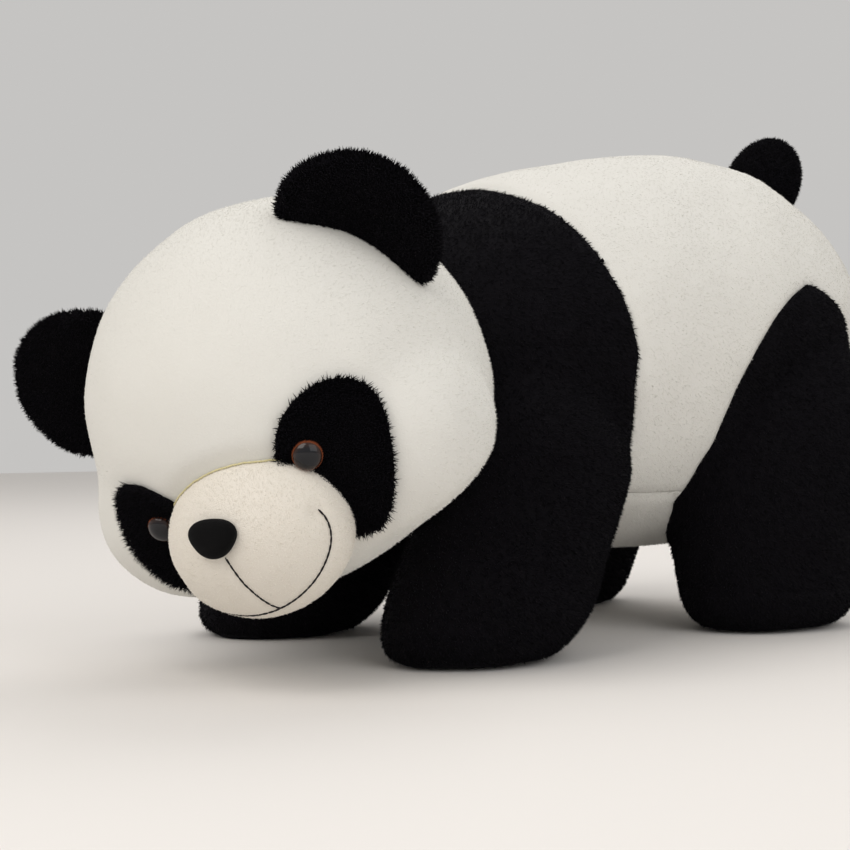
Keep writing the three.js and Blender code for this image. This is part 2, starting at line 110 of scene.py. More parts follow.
def deselect():
    """Leaves edit mode and selects nothing, so the next operator works on one thing only."""
    if bpy.context.object and bpy.context.object.mode != "OBJECT":
        bpy.ops.object.mode_set(mode="OBJECT")
    bpy.ops.object.select_all(action="DESELECT")


def choose(piece, *others):
    """Selects these pieces and makes the first one active."""
    deselect()
    for each in (piece, *others):
        each.select_set(True)
    bpy.context.view_layer.objects.active = piece


def set_inputs(node, values):
    """Fills in inputs of a node. A value that is the output of another node is linked."""
    for key, value in values.items():
        if isinstance(value, bpy.types.NodeSocket):
            node.id_data.links.new(value, node.inputs[key])
        else:
            node.inputs[key].default_value = value


def shader_of(material):
    return material.node_tree.nodes["Principled BSDF"]


def plain_material(name, color, roughness):
    material = bpy.data.materials.new(name)
    material.use_nodes = True
    set_inputs(shader_of(material), {"Base Color": (*color, 1.0), "Roughness": roughness})
    return material


def area_light(name, place, aim, size, power, color):
    bpy.ops.object.light_add(type="AREA", location=place)
    light = bpy.context.object
    light.name = name
    light.data.size = size
    light.data.energy = power
    light.data.color = color
    light.rotation_euler = (Vector(aim) - Vector(place)).to_track_quat("-Z", "Y").to_euler()
    return light


deselect()
bpy.ops.mesh.primitive_plane_add(size=2 * FLOOR_HALF, location=(0, 0, 0))
floor = bpy.context.object
floor.name = "studio_floor"
floor.data.materials.append(plain_material("studio_paper", (0.80, 0.77, 0.74), 0.9))

area_light("key", (0.2, -1.9, 1.7), (0, -0.1, 0.15), 1.6, 24, (1.0, 0.97, 0.93))
area_light("fill", (2.0, -0.2, 1.2), (0, 0.1, 0.2), 1.8, 12, (0.97, 0.98, 1.0))
area_light("top", (-0.6, 1.2, 2.0), (0, 0.0, 0.2), 1.6, 17, (1.0, 0.98, 0.96))

world = bpy.data.worlds.new("studio")
bpy.context.scene.world = world
world.use_nodes = True
set_inputs(
    world.node_tree.nodes["Background"], {"Color": (1.0, 0.985, 0.965, 1), "Strength": 0.56})
bpy.context.scene.view_settings.view_transform = "Standard"


# %% [markdown]
# Plush is a knitted backing with cut pile standing on it. Close up its colour isn't even:
# the nap lies in soft patches, lighter where it leans away from the light. One node group
# makes those patches and the fine grain, and each cloth gives it its own two shades.

# %% Shared nap pattern
def add_node(tree, kind, values=None, **settings):
    """A new node with these settings and input values."""
    node = tree.nodes.new(kind)
    for key, value in settings.items():
        setattr(node, key, value)
    set_inputs(node, values or {})
    return node


def nap_group():
    """Soft patches and fine grain, as a colour and a height."""
    group = bpy.data.node_groups.new("nap", "ShaderNodeTree")
    for name, way, kind in (
        ("Light", "INPUT", "Color"), ("Dark", "INPUT", "Color"),
        ("Patch Scale", "INPUT", "Float"), ("Grain Scale", "INPUT", "Float"),
        ("Color", "OUTPUT", "Color"), ("Height", "OUTPUT", "Float"),
    ):
        group.interface.new_socket(name, in_out=way, socket_type=f"NodeSocket{kind}")
    start, end = add_node(group, "NodeGroupInput"), add_node(group, "NodeGroupOutput")
    place = add_node(group, "ShaderNodeTexCoord").outputs["Object"]
    patches, grain = (
        add_node(group, "ShaderNodeTexNoise", {
            "Vector": place, "Scale": start.outputs[f"{name} Scale"], "Detail": detail,
        }).outputs["Fac"] for name, detail in (("Patch", 4), ("Grain", 3)))
    both = add_node(group, "ShaderNodeMath", {0: patches, 1: grain}, operation="ADD")
    half = add_node(
        group, "ShaderNodeMath", {0: both.outputs[0], 1: 0.5}, operation="MULTIPLY")
    mix = add_node(group, "ShaderNodeMix", {
        "Factor": half.outputs[0], "A": start.outputs["Light"], "B": start.outputs["Dark"],
    }, data_type="RGBA")
    set_inputs(end, {"Color": mix.outputs["Result"], "Height": grain})
    return group


NAP = nap_group()
PATCH_SCALE = 22.0
NAP_DEPTH = 0.001
SHEEN_ROUGHNESS = 0.45


def sheen_of(weight, tint):
    return {
        "Sheen Weight": weight, "Sheen Roughness": SHEEN_ROUGHNESS, "Sheen Tint": (*tint, 1),
    }


def plush_material(name, light, dark, sheen, tint, grain=900.0, bump=0.25):
    """The backing of a plush: two shades in soft patches, a fine grain and a sheen."""
    material = plain_material(name, light, 0.95)
    tree = material.node_tree
    nap = add_node(tree, "ShaderNodeGroup", {
        "Light": (*light, 1), "Dark": (*dark, 1), "Patch Scale": PATCH_SCALE,
        "Grain Scale": grain,
    }, node_tree=NAP)
    raised = add_node(tree, "ShaderNodeBump", {
        "Strength": bump, "Distance": NAP_DEPTH, "Height": nap.outputs["Height"],
    })
    set_inputs(shader_of(material), {
        "Base Color": nap.outputs["Color"], "Normal": raised.outputs["Normal"],
        **sheen_of(sheen, tint), "Specular IOR Level": 0.12,
    })
    return material


def pile_material(name, color, sheen, tint):
    """The fibres: one even shade each, so that the pattern comes from how they lie."""
    material = plain_material(name, color, 0.85)
    set_inputs(shader_of(material), {**sheen_of(sheen, tint), "Specular IOR Level": 0.10})
    return material


PALE_TINT, CREAM_TINT, BLACK_TINT = (1, 0.99, 0.97), (1, 0.97, 0.92), (0.35, 0.34, 0.45)
WHITE = plush_material(
    "white_backing", (0.728, 0.714, 0.672), (0.682, 0.667, 0.622), 0.12, PALE_TINT)
BLACK = plush_material(
    "black_backing", (0.0036, 0.0028, 0.0046), (0.0015, 0.0013, 0.0018), 0.03, BLACK_TINT)
CREAM = plush_material(
    "cream_backing", (0.78, 0.735, 0.66), (0.71, 0.66, 0.585), 0.1, CREAM_TINT, 1400.0, 0.35)
WHITE_PILE = [
    pile_material("white_fibre", (0.743, 0.732, 0.690), 0.1, PALE_TINT),
    pile_material("white_fibre_shade", (0.718, 0.704, 0.660), 0.1, PALE_TINT),
]
BLACK_PILE = [
    pile_material("black_fibre", (0.0036, 0.0030, 0.0046), 0.03, BLACK_TINT),
    pile_material("black_fibre_shade", (0.0015, 0.0013, 0.0019), 0.02, (0.3, 0.3, 0.38)),
]
CREAM_PILE = [
    pile_material("cream_fibre", (0.80, 0.76, 0.69), 0.1, CREAM_TINT),
    pile_material("cream_fibre_shade", (0.75, 0.70, 0.625), 0.1, CREAM_TINT),
]
print("cloths", [m.name for m in (WHITE, BLACK, CREAM)])


# %% [markdown]
# Where things are is read from the frame: the middle of the body from the soles and the middle
# of the head from the eyes, while the head's turn is given as three angles. A form for each leg
# and for the trunk is then pulled out of one circle, ring by ring, as a potter pulls a pot.

# %% Places in the frame
def middle(node):
    low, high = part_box(node)
    return (Vector(low) + Vector(high)) / 2


MID_X = (middle("front_left_sole").x + middle("front_right_sole").x) / 2
SIDES = ((1, "left"), (-1, "right"))
LEG_NAMES = ("front_left", "front_right", "hind_left", "hind_right")
JOINTS = {j["name"]: j for j in frame["joints"]}
HINGE = {leg: Vector(JOINTS[f"{leg}_leg_swing"]["pos_m"]) for leg in LEG_NAMES}
print("middle of the body at x =", round(MID_X, 4))


# %% Pull a closed form out of a circle
def pull_rings(name, rings, around=28):
    """A closed form drawn out ring by ring. Each ring is (centre, half width, half depth)."""
    deselect()
    first = rings[0]
    bpy.ops.mesh.primitive_circle_add(vertices=around, radius=1.0, fill_type="NGON")
    piece = bpy.context.object
    piece.name = name
    bpy.ops.object.mode_set(mode="EDIT")
    bpy.ops.mesh.select_all(action="SELECT")
    bpy.ops.transform.resize(value=(first[1], first[2], 1), center_override=(0, 0, 0))
    bpy.ops.transform.translate(value=(first[0][0], first[0][1], first[0][2]))
    for before, ring in zip(rings, rings[1:]):
        step = Vector(ring[0]) - Vector(before[0])
        bpy.ops.mesh.extrude_region_move(TRANSFORM_OT_translate={"value": step})
        bpy.ops.transform.resize(
            value=(ring[1] / before[1], ring[2] / before[2], 1), center_override=ring[0]
        )
    bpy.ops.mesh.select_all(action="SELECT")
    bpy.ops.mesh.normals_make_consistent(inside=False)
    bpy.ops.object.mode_set(mode="OBJECT")
    return piece


TRUNK_RINGS = 16
TRUNK_HALF = 0.159
SHOULDER_TOP, RUMP_TOP = 0.318, 0.408
FRONT_BOXY, REAR_BOXY = 3.0, 2.3
RUMP_FALL, FALL_FROM = 0.06, 0.62


def body_form():
    """The trunk, pulled along its length and then laid down along Y."""
    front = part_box("shoulder_band")[0][1] - 9 * MM
    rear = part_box("torso_skin")[1][1]
    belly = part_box("belly_panel")[0][2]
    rings = []
    for i in range(TRUNK_RINGS + 1):
        along = 0.5 - 0.5 * math.cos(math.pi * (0.02 + 0.96 * i / TRUNK_RINGS))
        from_middle = abs(2 * along - 1)
        full = math.sqrt(1 - from_middle ** (FRONT_BOXY if along < 0.5 else REAR_BOXY))
        top = SHOULDER_TOP + (RUMP_TOP - SHOULDER_TOP) * along
        top -= RUMP_FALL * max(0.0, (along - FALL_FROM) / (1 - FALL_FROM)) ** 1.6
        centre = (top + belly) / 2
        half = (top - belly) / 2 * full
        rings.append(((MID_X, -centre, front + (rear - front) * along), TRUNK_HALF * full, half))
    piece = pull_rings("trunk_form", rings, 36)
    piece.data.transform(Matrix.Rotation(math.radians(-90), 4, "X"))
    return piece


LEG_SHAPE = {
    # half depth of sole, paw and root, half width as a share of it, lean to the rear
    "front": (0.052, 0.076, 0.072, 0.80, 0.53),
    "hind": (0.056, 0.083, 0.102, 0.68, 0.10),
}
FOOT_SHIFT = {"front_left": -0.007, "front_right": -0.002, "hind_left": 0, "hind_right": 0}


def foot_of(leg):
    """The middle of the paw on the floor."""
    return middle(f"{leg}_sole") + Vector((0, FOOT_SHIFT[leg], 0))


def leg_form(leg):
    sole, paw, root, narrow, lean = LEG_SHAPE[leg.split("_")[0]]
    foot, hinge = foot_of(leg), HINGE[leg]
    profile = (
        (0.0, sole), (0.005, sole * 1.16), (0.015, paw * 0.93), (0.034, paw),
        (0.06, (paw * 2 + root) / 3), (0.09, (paw + root * 2) / 3), (hinge.z, root),
        (hinge.z + 0.35 * root, root * 0.94), (hinge.z + 0.7 * root, root * 0.71),
        (hinge.z + 0.92 * root, root * 0.4),
    )
    rings = []
    for z, half in profile:
        y = foot.y + lean * min(z, hinge.z)
        rings.append(((foot.x, y, z), half * narrow, half))
    return pull_rings(f"{leg}_form", rings)


forms = [body_form()] + [leg_form(leg) for leg in LEG_NAMES]
print("forms", [(f.name, len(f.data.vertices)) for f in forms])


# %% [markdown]
# The five forms become one stuffed body. A voxel remesh joins them, smoothing rounds the
# corners where the legs leave the trunk, and a cloth simulation blows the skin up with
# stuffing pressure until it is taut. No point may move more than a few millimetres.

# %% Join and stuff the body
def apply_modifier(piece, kind, name, **settings):
    choose(piece)
    bpy.ops.object.modifier_add(type=kind)
    modifier = piece.modifiers[-1]
    modifier.name = name
    for key, value in settings.items():
        setattr(modifier, key, value)
    bpy.ops.object.modifier_apply(modifier=name)


def shade_soft(piece):
    choose(piece)
    bpy.ops.object.shade_smooth()


def read_rows(items, key):
    """Three numbers from each item, as one row each."""
    flat = np.empty(len(items) * 3)
    items.foreach_get(key, flat)
    return flat.reshape(-1, 3)


def points_of(mesh):
    return read_rows(mesh.vertices, "co")


def set_points(mesh, points):
    mesh.vertices.foreach_set("co", points.ravel())
    mesh.update()


def normals_of(mesh):
    return read_rows(mesh.vertices, "normal")


def stuff(piece, voxel, pressure, most, frames=20):
    """Remesh the form, blow it up as cloth and keep each point within `most` of its start."""
    apply_modifier(piece, "REMESH", "even", mode="VOXEL", voxel_size=voxel, use_smooth_shade=True)
    apply_modifier(piece, "SMOOTH", "round", factor=0.5, iterations=6)
    start = points_of(piece.data)
    choose(piece)
    bpy.ops.object.modifier_add(type="CLOTH")
    cloth = piece.modifiers[-1]
    cloth.settings.effector_weights.gravity = 0
    for key, value in {
        "use_pressure": True, "uniform_pressure_force": pressure, "quality": 5, "mass": 0.3,
        "tension_stiffness": 25, "compression_stiffness": 25, "shear_stiffness": 10,
        "bending_stiffness": 0.5,
    }.items():
        setattr(cloth.settings, key, value)
    cloth.point_cache.frame_start = 1
    cloth.point_cache.frame_end = frames
    scene = bpy.context.scene
    for frame_number in range(1, frames + 1):
        scene.frame_set(frame_number)
    bpy.ops.object.modifier_apply(modifier=cloth.name)
    scene.frame_set(1)
    moved = points_of(piece.data) - start
    length = np.linalg.norm(moved, axis=1, keepdims=True)
    moved *= np.minimum(1, most / np.maximum(length, 1e-9))
    set_points(piece.data, start + moved)
    apply_modifier(piece, "SMOOTH", "settle", factor=0.5, iterations=3)


def rest_on_floor(piece):
    """Flattens whatever has sunk below the floor."""
    points = points_of(piece.data)
    points[:, 2] = np.maximum(points[:, 2], 0.0)
    set_points(piece.data, points)


def refine(piece):
    apply_modifier(piece, "SUBSURF", "fine", levels=1, render_levels=1)


def join_pieces(*pieces):
    """Joins the pieces into the first one."""
    choose(*pieces)
    bpy.ops.object.join()
    return bpy.context.object


BODY_VOXEL = 6.5 * MM
body = join_pieces(*forms)
body.name = "body_form"
stuff(body, BODY_VOXEL, pressure=3.0, most=7 * MM)
rest_on_floor(body)
refine(body)
print("body form", len(body.data.polygons), "faces")


# %% [markdown]
# The body is sewn from panels: a black shoulder band that runs into the forelegs, a white
# barrel with its own belly panel, and a black haunch on each side that runs into the hind
# leg. Each seam is written as a field, which is zero on the seam and grows in metres away
# from it. Points near a seam are moved onto it, so that the cut edge is smooth.

# %% Seam fields
BAND_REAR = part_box("shoulder_band")[1][1]
BELLY_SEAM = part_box("belly_panel")[1][2]
HAUNCH_LOW, HAUNCH_HIGH = (Vector(c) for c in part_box("haunch_left"))
LEG_CREST = 0.205
INNER_LEG = 0.040
FRONT_EASE, REAR_EASE = 12 * MM, 6 * MM
FORELEG_SPREAD, HIND_LEG_SPREAD = 2 * MM, 5 * MM
GROIN_HALF, GROIN_LEVEL, GROIN_SLOPE = 0.058, 0.15, 0.6
SHOULDER_LEVEL, SHOULDER_SLOPE, CHEST_SLOPE = 0.20, 0.20, 0.05
CREASE, CREASE_LEVEL, CREASE_BREADTH = 5 * MM, 0.147, 0.022


def leg_field(points, leg):
    """Roughly how far each point stands outside the form of this leg."""
    sole, paw, root, narrow, lean = LEG_SHAPE[leg.split("_")[0]]
    foot, hinge = foot_of(leg), HINGE[leg]
    heights = [0.0, 0.015, 0.034, 0.06, 0.09, hinge.z, hinge.z + 0.7 * root, hinge.z + root]
    radii = [sole, paw, paw, (paw * 2 + root) / 3, (paw + root * 2) / 3, root, root * 0.7, 0]
    z = points[:, 2]
    half = np.interp(z, heights, radii)
    across = (points[:, 0] - foot.x) / narrow
    along = points[:, 1] - foot.y - lean * np.minimum(z, hinge.z)
    above = np.maximum(z - LEG_CREST, 0)
    return np.hypot(across, along) - half + 4 * above


def haunch_field(points, side):
    """Signed distance, in the plane of the flank, to the pear outline of the haunch."""
    front, rear, top = HAUNCH_LOW.y, HAUNCH_HIGH.y, HAUNCH_HIGH.z
    tip = front + 0.44 * (rear - front)
    outline = []
    bends = (
        ((front + 0.010, 0.09), (front - 0.004, top - 0.09), (front + 0.032, top - 0.026),
         (tip - 0.010, top - 0.006)),
        ((tip - 0.010, top - 0.006), (tip + 0.025, top - 0.004), (rear - 0.02, top - 0.07),
         (rear - 0.030, 0.09)),
    )
    for a, b, c, d in bends:
        for t in np.linspace(0, 1, 24):
            s = 1 - t
            w = (s**3, 3 * s * s * t, 3 * s * t * t, t**3)
            outline.append([sum(k * p[i] for k, p in zip(w, (a, b, c, d))) for i in (0, 1)])
    outline = np.array([(outline[0][0], -0.1), *outline, (outline[-1][0], -0.1)])
    corner, step = outline[:-1], np.diff(outline, axis=0)
    y, z = points[:, 1:2], points[:, 2:3]
    away = points[:, None, 1:3] - corner
    share = np.sum(away * step, axis=2) / np.maximum(np.sum(step**2, axis=1), 1e-12)
    gap = np.linalg.norm(away - np.clip(share, 0, 1)[..., None] * step, axis=2).min(axis=1)
    rise = np.where(step[:, 1] == 0, 1e-12, step[:, 1])
    crossed = ((corner[:, 1] > z) != (outline[1:, 1] > z)) & (
        y < corner[:, 0] + (z - corner[:, 1]) * step[:, 0] / rise)
    inside = np.sum(crossed, axis=1) % 2 == 1
    outward = (points[:, 0] - MID_X) * side
    inner = GROIN_HALF + GROIN_SLOPE * np.clip(GROIN_LEVEL - points[:, 2], 0, 0.06)
    field = np.maximum(np.where(inside, -gap, gap), inner - outward)
    return np.maximum(field, BELLY_SEAM - 0.004 - points[:, 2])


def band_field(points):
    """The rear seam of the band, which leans forward over the shoulders and at the chest."""
    high = np.maximum(points[:, 2] - SHOULDER_LEVEL, 0)
    low = np.maximum(SHOULDER_LEVEL - points[:, 2], 0)
    crease = CREASE * np.exp(-(((points[:, 2] - CREASE_LEVEL) / CREASE_BREADTH) ** 2))
    return points[:, 1] - BAND_REAR + SHOULDER_SLOPE * high + CHEST_SLOPE * low - crease


def joined(ease, *fields):
    """The union of the regions where these fields are below zero, with eased corners."""
    return -ease * np.log(sum(np.exp(-np.clip(f, -0.2, 0.2) / ease) for f in fields))


def black_front_field(points):
    legs = [leg_field(points, leg) - FORELEG_SPREAD for leg in ("front_left", "front_right")]
    return joined(FRONT_EASE, band_field(points), *legs)


def black_rear_field(points, side):
    leg = "hind_left" if side > 0 else "hind_right"
    spread = leg_field(points, leg) - HIND_LEG_SPREAD
    return joined(REAR_EASE, haunch_field(points, side), spread)


def gradient_of(field, points, step=0.5 * MM):
    rows = []
    for axis in range(3):
        shift = np.zeros(3)
        shift[axis] = step
        rows.append((field(points + shift) - field(points - shift)) / (2 * step))
    return np.stack(rows, axis=1)


def onto_seam(mesh, chosen, field, most=4 * MM):
    """Slides the chosen points along the surface until the field is zero there."""
    points, normals = points_of(mesh), normals_of(mesh)
    for _ in range(3):
        here, face = points[chosen], normals[chosen]
        slope = gradient_of(field, here)
        slope -= face * np.sum(slope * face, axis=1, keepdims=True)
        size = np.maximum(np.sum(slope**2, axis=1, keepdims=True), 0.05)
        move = -field(here)[:, None] * slope / size
        length = np.linalg.norm(move, axis=1, keepdims=True)
        points[chosen] = here + move * np.minimum(1, most / np.maximum(length, 1e-9))
    set_points(mesh, points)


def sink_seam(mesh, distance, width, depth):
    """Pulls the cloth in along a seam."""
    points = points_of(mesh) - normals_of(mesh) * (
        depth * np.exp(-((distance / width) ** 2))
    )[:, None]
    set_points(mesh, points)


# %% Cut the body into panels
def face_middles(mesh):
    return read_rows(mesh.polygons, "center")


def corners_of(mesh):
    """How many corners each face has, and the point at each corner."""
    counts = np.empty(len(mesh.polygons), dtype=int)
    mesh.polygons.foreach_get("loop_total", counts)
    corners = np.empty(len(mesh.loops), dtype=int)
    mesh.loops.foreach_get("vertex_index", corners)
    return counts, corners


def label_body(points):
    """The panel that each place on the body belongs to."""
    x = points[:, 0] - MID_X
    labels = np.full(len(points), "torso_skin", dtype="U24")
    labels[points[:, 2] < BELLY_SEAM] = "belly_panel"
    front = black_front_field(points) < 0
    labels[front & ((band_field(points) < 0) | (np.abs(x) > INNER_LEG))] = "shoulder_band"
    for side, name in SIDES:
        black = (black_rear_field(points, side) < 0) & (x * side > 0)
        labels[black & (points[:, 1] > BAND_REAR + 0.03)] = f"hind_{name}_leg"
        fore = (x * side > INNER_LEG) & (points[:, 2] < LEG_CREST) & front
        labels[fore] = f"front_{name}_leg"
    return labels


def shared_points(mesh, labels, one, other):
    """The points where a face of one panel meets a face of the other."""
    counts, corners = corners_of(mesh)
    owner = np.repeat(labels, counts)
    has_one = np.zeros(len(mesh.vertices), bool)
    has_other = np.zeros(len(mesh.vertices), bool)
    has_one[corners[np.isin(owner, one)]] = True
    has_other[corners[np.isin(owner, other)]] = True
    return np.flatnonzero(has_one & has_other)


def sew(labels, one, other, field):
    """Moves the points between these panels onto their seam."""
    onto_seam(body.data, shared_points(body.data, labels, one, other), field)


WHITE_PANELS = ["torso_skin", "belly_panel"]
labels = label_body(face_middles(body.data))
for _ in range(2):
    sew(labels, ["shoulder_band", "front_left_leg", "front_right_leg"], WHITE_PANELS,
        black_front_field)
    sew(labels, ["torso_skin"], ["belly_panel"], lambda p: p[:, 2] - BELLY_SEAM)
    for side, name in SIDES:
        sew(labels, [f"hind_{name}_leg"], WHITE_PANELS,
            lambda p, side=side: black_rear_field(p, side))
        sew(labels, [f"front_{name}_leg"], ["shoulder_band"],
            lambda p, side=side: np.minimum(
                LEG_CREST - p[:, 2], (p[:, 0] - MID_X) * side - INNER_LEG))

points = points_of(body.data)
seam = np.abs(black_front_field(points)) + np.where(points[:, 2] < 0.06, 1, 0)
for side in (1, -1):
    near = np.abs(black_rear_field(points, side))
    far_side = ((points[:, 0] - MID_X) * side < 0) | (points[:, 2] < 0.03)
    seam = np.minimum(seam, near + np.where(far_side, 1, 0))
sink_seam(body.data, seam, width=5 * MM, depth=2.2 * MM)
points = points_of(body.data)
belly = np.abs(points[:, 2] - BELLY_SEAM) + np.where(
    (black_front_field(points) > 0) & (black_rear_field(points, 1) > 0)
    & (black_rear_field(points, -1) > 0), 0, 1)
sink_seam(body.data, belly, width=3.5 * MM, depth=1.8 * MM)
for panel in sorted(set(labels)):
    print(panel, int(np.sum(labels == panel)), "faces")


# %% [markdown]
# Cloth that is pulled tight over loose fibre still shows soft dimples, and a few shallow
# folds where it is gathered. They come from a broad displacement of a millimetre or two,
# before the panels part, so that they run on across the seams.

# %% Soft dimples
def dimple(piece, breadth, depth, name):
    """Moves the surface in and out a little by a soft cloud pattern."""
    pattern = bpy.data.textures.new(name, "CLOUDS")
    pattern.noise_scale = breadth
    pattern.noise_depth = 1
    apply_modifier(
        piece, "DISPLACE", "dimples", texture=pattern, texture_coords="LOCAL",
        strength=depth, mid_level=0.5,
    )
    bpy.data.textures.remove(pattern)


dimple(body, 0.075, 5 * MM, "broad")
dimple(body, 0.022, 1.2 * MM, "small")
rest_on_floor(body)


# %% Part the panels
def copy_piece(piece, name):
    choose(piece)
    bpy.ops.object.duplicate()
    twin = bpy.context.object
    twin.name = name
    twin.data.name = name
    return twin


def keep_faces(piece, keep):
    """Deletes every face that isn't kept."""
    piece.data.polygons.foreach_set("select", ~keep)
    choose(piece)
    bpy.ops.object.mode_set(mode="EDIT")
    bpy.ops.mesh.select_mode(type="FACE")
    bpy.ops.object.mode_set(mode="OBJECT")
    piece.data.polygons.foreach_set("select", ~keep)
    bpy.ops.object.mode_set(mode="EDIT")
    bpy.ops.mesh.delete(type="FACE")
    bpy.ops.object.mode_set(mode="OBJECT")


def part_panel(whole, labels, name):
    panel = copy_piece(whole, name)
    keep_faces(panel, labels == name)
    return panel


sole_names = [f"{leg}_sole" for leg in LEG_NAMES]
centres = face_middles(body.data)
for leg in LEG_NAMES:
    sole, _, _, narrow, _ = LEG_SHAPE[leg.split("_")[0]]
    foot = foot_of(leg)
    rim = np.hypot((centres[:, 0] - foot.x) / narrow, centres[:, 1] - foot.y) - sole * 1.02
    labels[(rim < 0) & (centres[:, 2] < 12 * MM)] = f"{leg}_sole"
    sew(labels, [f"{leg}_sole"], [f"{leg}_leg"],
        lambda p, foot=foot, sole=sole, narrow=narrow: np.hypot(
            (p[:, 0] - foot.x) / narrow, p[:, 1] - foot.y) - sole * 1.02)
PANELS = ["torso_skin", "belly_panel", "shoulder_band"] + [f"{leg}_leg" for leg in LEG_NAMES]
panels = {name: part_panel(body, labels, name) for name in PANELS + sole_names}
choose(body)
bpy.ops.object.delete()
print({name: len(panel.data.polygons) for name, panel in panels.items()})


# %% [markdown]
# Pile is what makes plush plush. Thousands of fine closed tufts, each only a thin pyramid,
# are scattered over a panel by a Geometry Nodes modifier, leaning the way the cloth was
# brushed. Each panel has its own length, density and lean, and most tufts are in one shade
# with some in a second, so that the nap looks alive.

# %% Tuft and pile
def make_tuft(name, material, width):
    """A thin closed pyramid, one unit tall, standing on the origin."""
    deselect()
    bpy.ops.mesh.primitive_cone_add(
        vertices=3, radius1=width / 2, radius2=0, depth=1, end_fill_type="NGON",
        location=(0, 0, 0.5),
    )
    bpy.ops.object.transform_apply(location=True)
    tuft = bpy.context.object
    tuft.name = name
    tuft.data.materials.append(material)
    return tuft


def pile_group(name, tufts, comb, lift, spread, seed):
    """Nodes that scatter tufts. `tufts` holds (tuft, tufts to the square metre, height)."""
    group = bpy.data.node_groups.new(name, "GeometryNodeTree")
    for way in ("INPUT", "OUTPUT"):
        group.interface.new_socket("Geometry", in_out=way, socket_type="NodeSocketGeometry")
    start, end = add_node(group, "NodeGroupInput"), add_node(group, "NodeGroupOutput")
    join = add_node(group, "GeometryNodeJoinGeometry")
    long_here = add_node(
        group, "GeometryNodeInputNamedAttribute", {"Name": "pile_length"}, data_type="FLOAT")
    for turn, (tuft, density, width) in enumerate(tufts):
        scatter = add_node(
            group, "GeometryNodeDistributePointsOnFaces",
            {"Mesh": start.outputs[0], "Density": density, "Seed": seed + turn},
            distribute_method="RANDOM")
        source = add_node(group, "GeometryNodeObjectInfo", {"Object": tuft, "As Instance": True})
        stand = add_node(
            group, "ShaderNodeVectorMath", {0: scatter.outputs["Normal"], "Scale": lift},
            operation="SCALE")
        chance = add_node(
            group, "FunctionNodeRandomValue",
            {"Min": (-spread,) * 3, "Max": (spread,) * 3, "Seed": seed + 11 + turn},
            data_type="FLOAT_VECTOR")
        lean = add_node(
            group, "ShaderNodeVectorMath", {0: stand.outputs[0], 1: comb}, operation="ADD")
        aim = add_node(
            group, "ShaderNodeVectorMath", {0: lean.outputs[0], 1: chance.outputs[0]},
            operation="ADD")
        align = add_node(
            group, "FunctionNodeAlignRotationToVector", {"Vector": aim.outputs[0]}, axis="Z")
        uneven = add_node(
            group, "FunctionNodeRandomValue", {2: 0.6, 3: 1.15, "Seed": seed + 23 + turn},
            data_type="FLOAT")
        height = add_node(
            group, "ShaderNodeMath", {0: long_here.outputs[0], 1: uneven.outputs[1]},
            operation="MULTIPLY")
        scale = add_node(
            group, "ShaderNodeCombineXYZ", {0: width, 1: width, 2: height.outputs[0]})
        plant = add_node(group, "GeometryNodeInstanceOnPoints", {
            "Points": scatter.outputs["Points"], "Instance": source.outputs["Geometry"],
            "Rotation": align.outputs[0], "Scale": scale.outputs[0],
        })
        real = add_node(group, "GeometryNodeRealizeInstances", {0: plant.outputs[0]})
        set_inputs(join, {0: real.outputs[0]})
    set_inputs(end, {0: join.outputs[0]})
    return group


def set_number(mesh, name, numbers):
    """Stores one number per point under this name."""
    if name in mesh.attributes:
        mesh.attributes.remove(mesh.attributes[name])
    mesh.attributes.new(name, "FLOAT", "POINT")
    mesh.attributes[name].data.foreach_set("value", np.asarray(numbers, dtype=np.float32))


def grow_pile(skin, name, tufts, length, comb, lift, spread, seed):
    """A new piece: the pile that stands on this skin."""
    pile = copy_piece(skin, name)
    set_number(pile.data, "pile_length", np.broadcast_to(length, len(pile.data.vertices)))
    pile.data.materials.clear()
    group = pile_group(f"{name}_nodes", tufts, comb, lift, spread, seed)
    choose(pile)
    bpy.ops.object.modifier_add(type="NODES")
    pile.modifiers[-1].node_group = group
    bpy.ops.object.modifier_apply(modifier=pile.modifiers[-1].name)
    bpy.data.node_groups.remove(group)
    if "pile_length" in pile.data.attributes:
        pile.data.attributes.remove(pile.data.attributes["pile_length"])
    print(name, len(pile.data.polygons), "faces of pile")
    return pile


def two_shades(materials, name):
    return [make_tuft(f"{name}_tuft_{i}", m, 1.0) for i, m in enumerate(materials)]


WHITE_TUFTS = two_shades(WHITE_PILE, "white")
BLACK_TUFTS = two_shades(BLACK_PILE, "black")
CREAM_TUFTS = two_shades(CREAM_PILE, "cream")


def mixed(tufts, density, width):
    """Three tufts in the main shade for each one in the second."""
    return [(tufts[0], 0.75 * density, width), (tufts[1], 0.25 * density, width)]


# %% [markdown]
# The head is sculpted in its own frame, with the face towards -Y and the crown up, and then
# turned to where the frame holds it: looking down and to the panda's left, rolled over. It
# starts as a ball with two cheeks, is remeshed into one form and blown up with stuffing.

# %% Place of the head
YAW, PITCH, ROLL = (math.radians(a) for a in (33, 28, -27))
HEAD_TURN = (
    Matrix.Rotation(YAW, 4, "Z") @ Matrix.Rotation(PITCH, 4, "X") @ Matrix.Rotation(ROLL, 4, "Y")
)
EYE_FORWARD = 0.1127
EYE_TURN = math.radians(26)
HEAD_RADIUS = 0.128
eyes_middle = (middle("eye_left") + middle("eye_right")) / 2
HEAD_CENTRE = eyes_middle + HEAD_TURN @ Vector((0, EYE_FORWARD, 0))
TO_HEAD = Matrix.Translation(HEAD_CENTRE) @ HEAD_TURN
print("head centre", tuple(round(v, 4) for v in HEAD_CENTRE))


def seat_on_head(piece):
    """Carries a piece from the head's own frame to its place."""
    piece.data.transform(TO_HEAD)
    piece.data.update()
    return piece


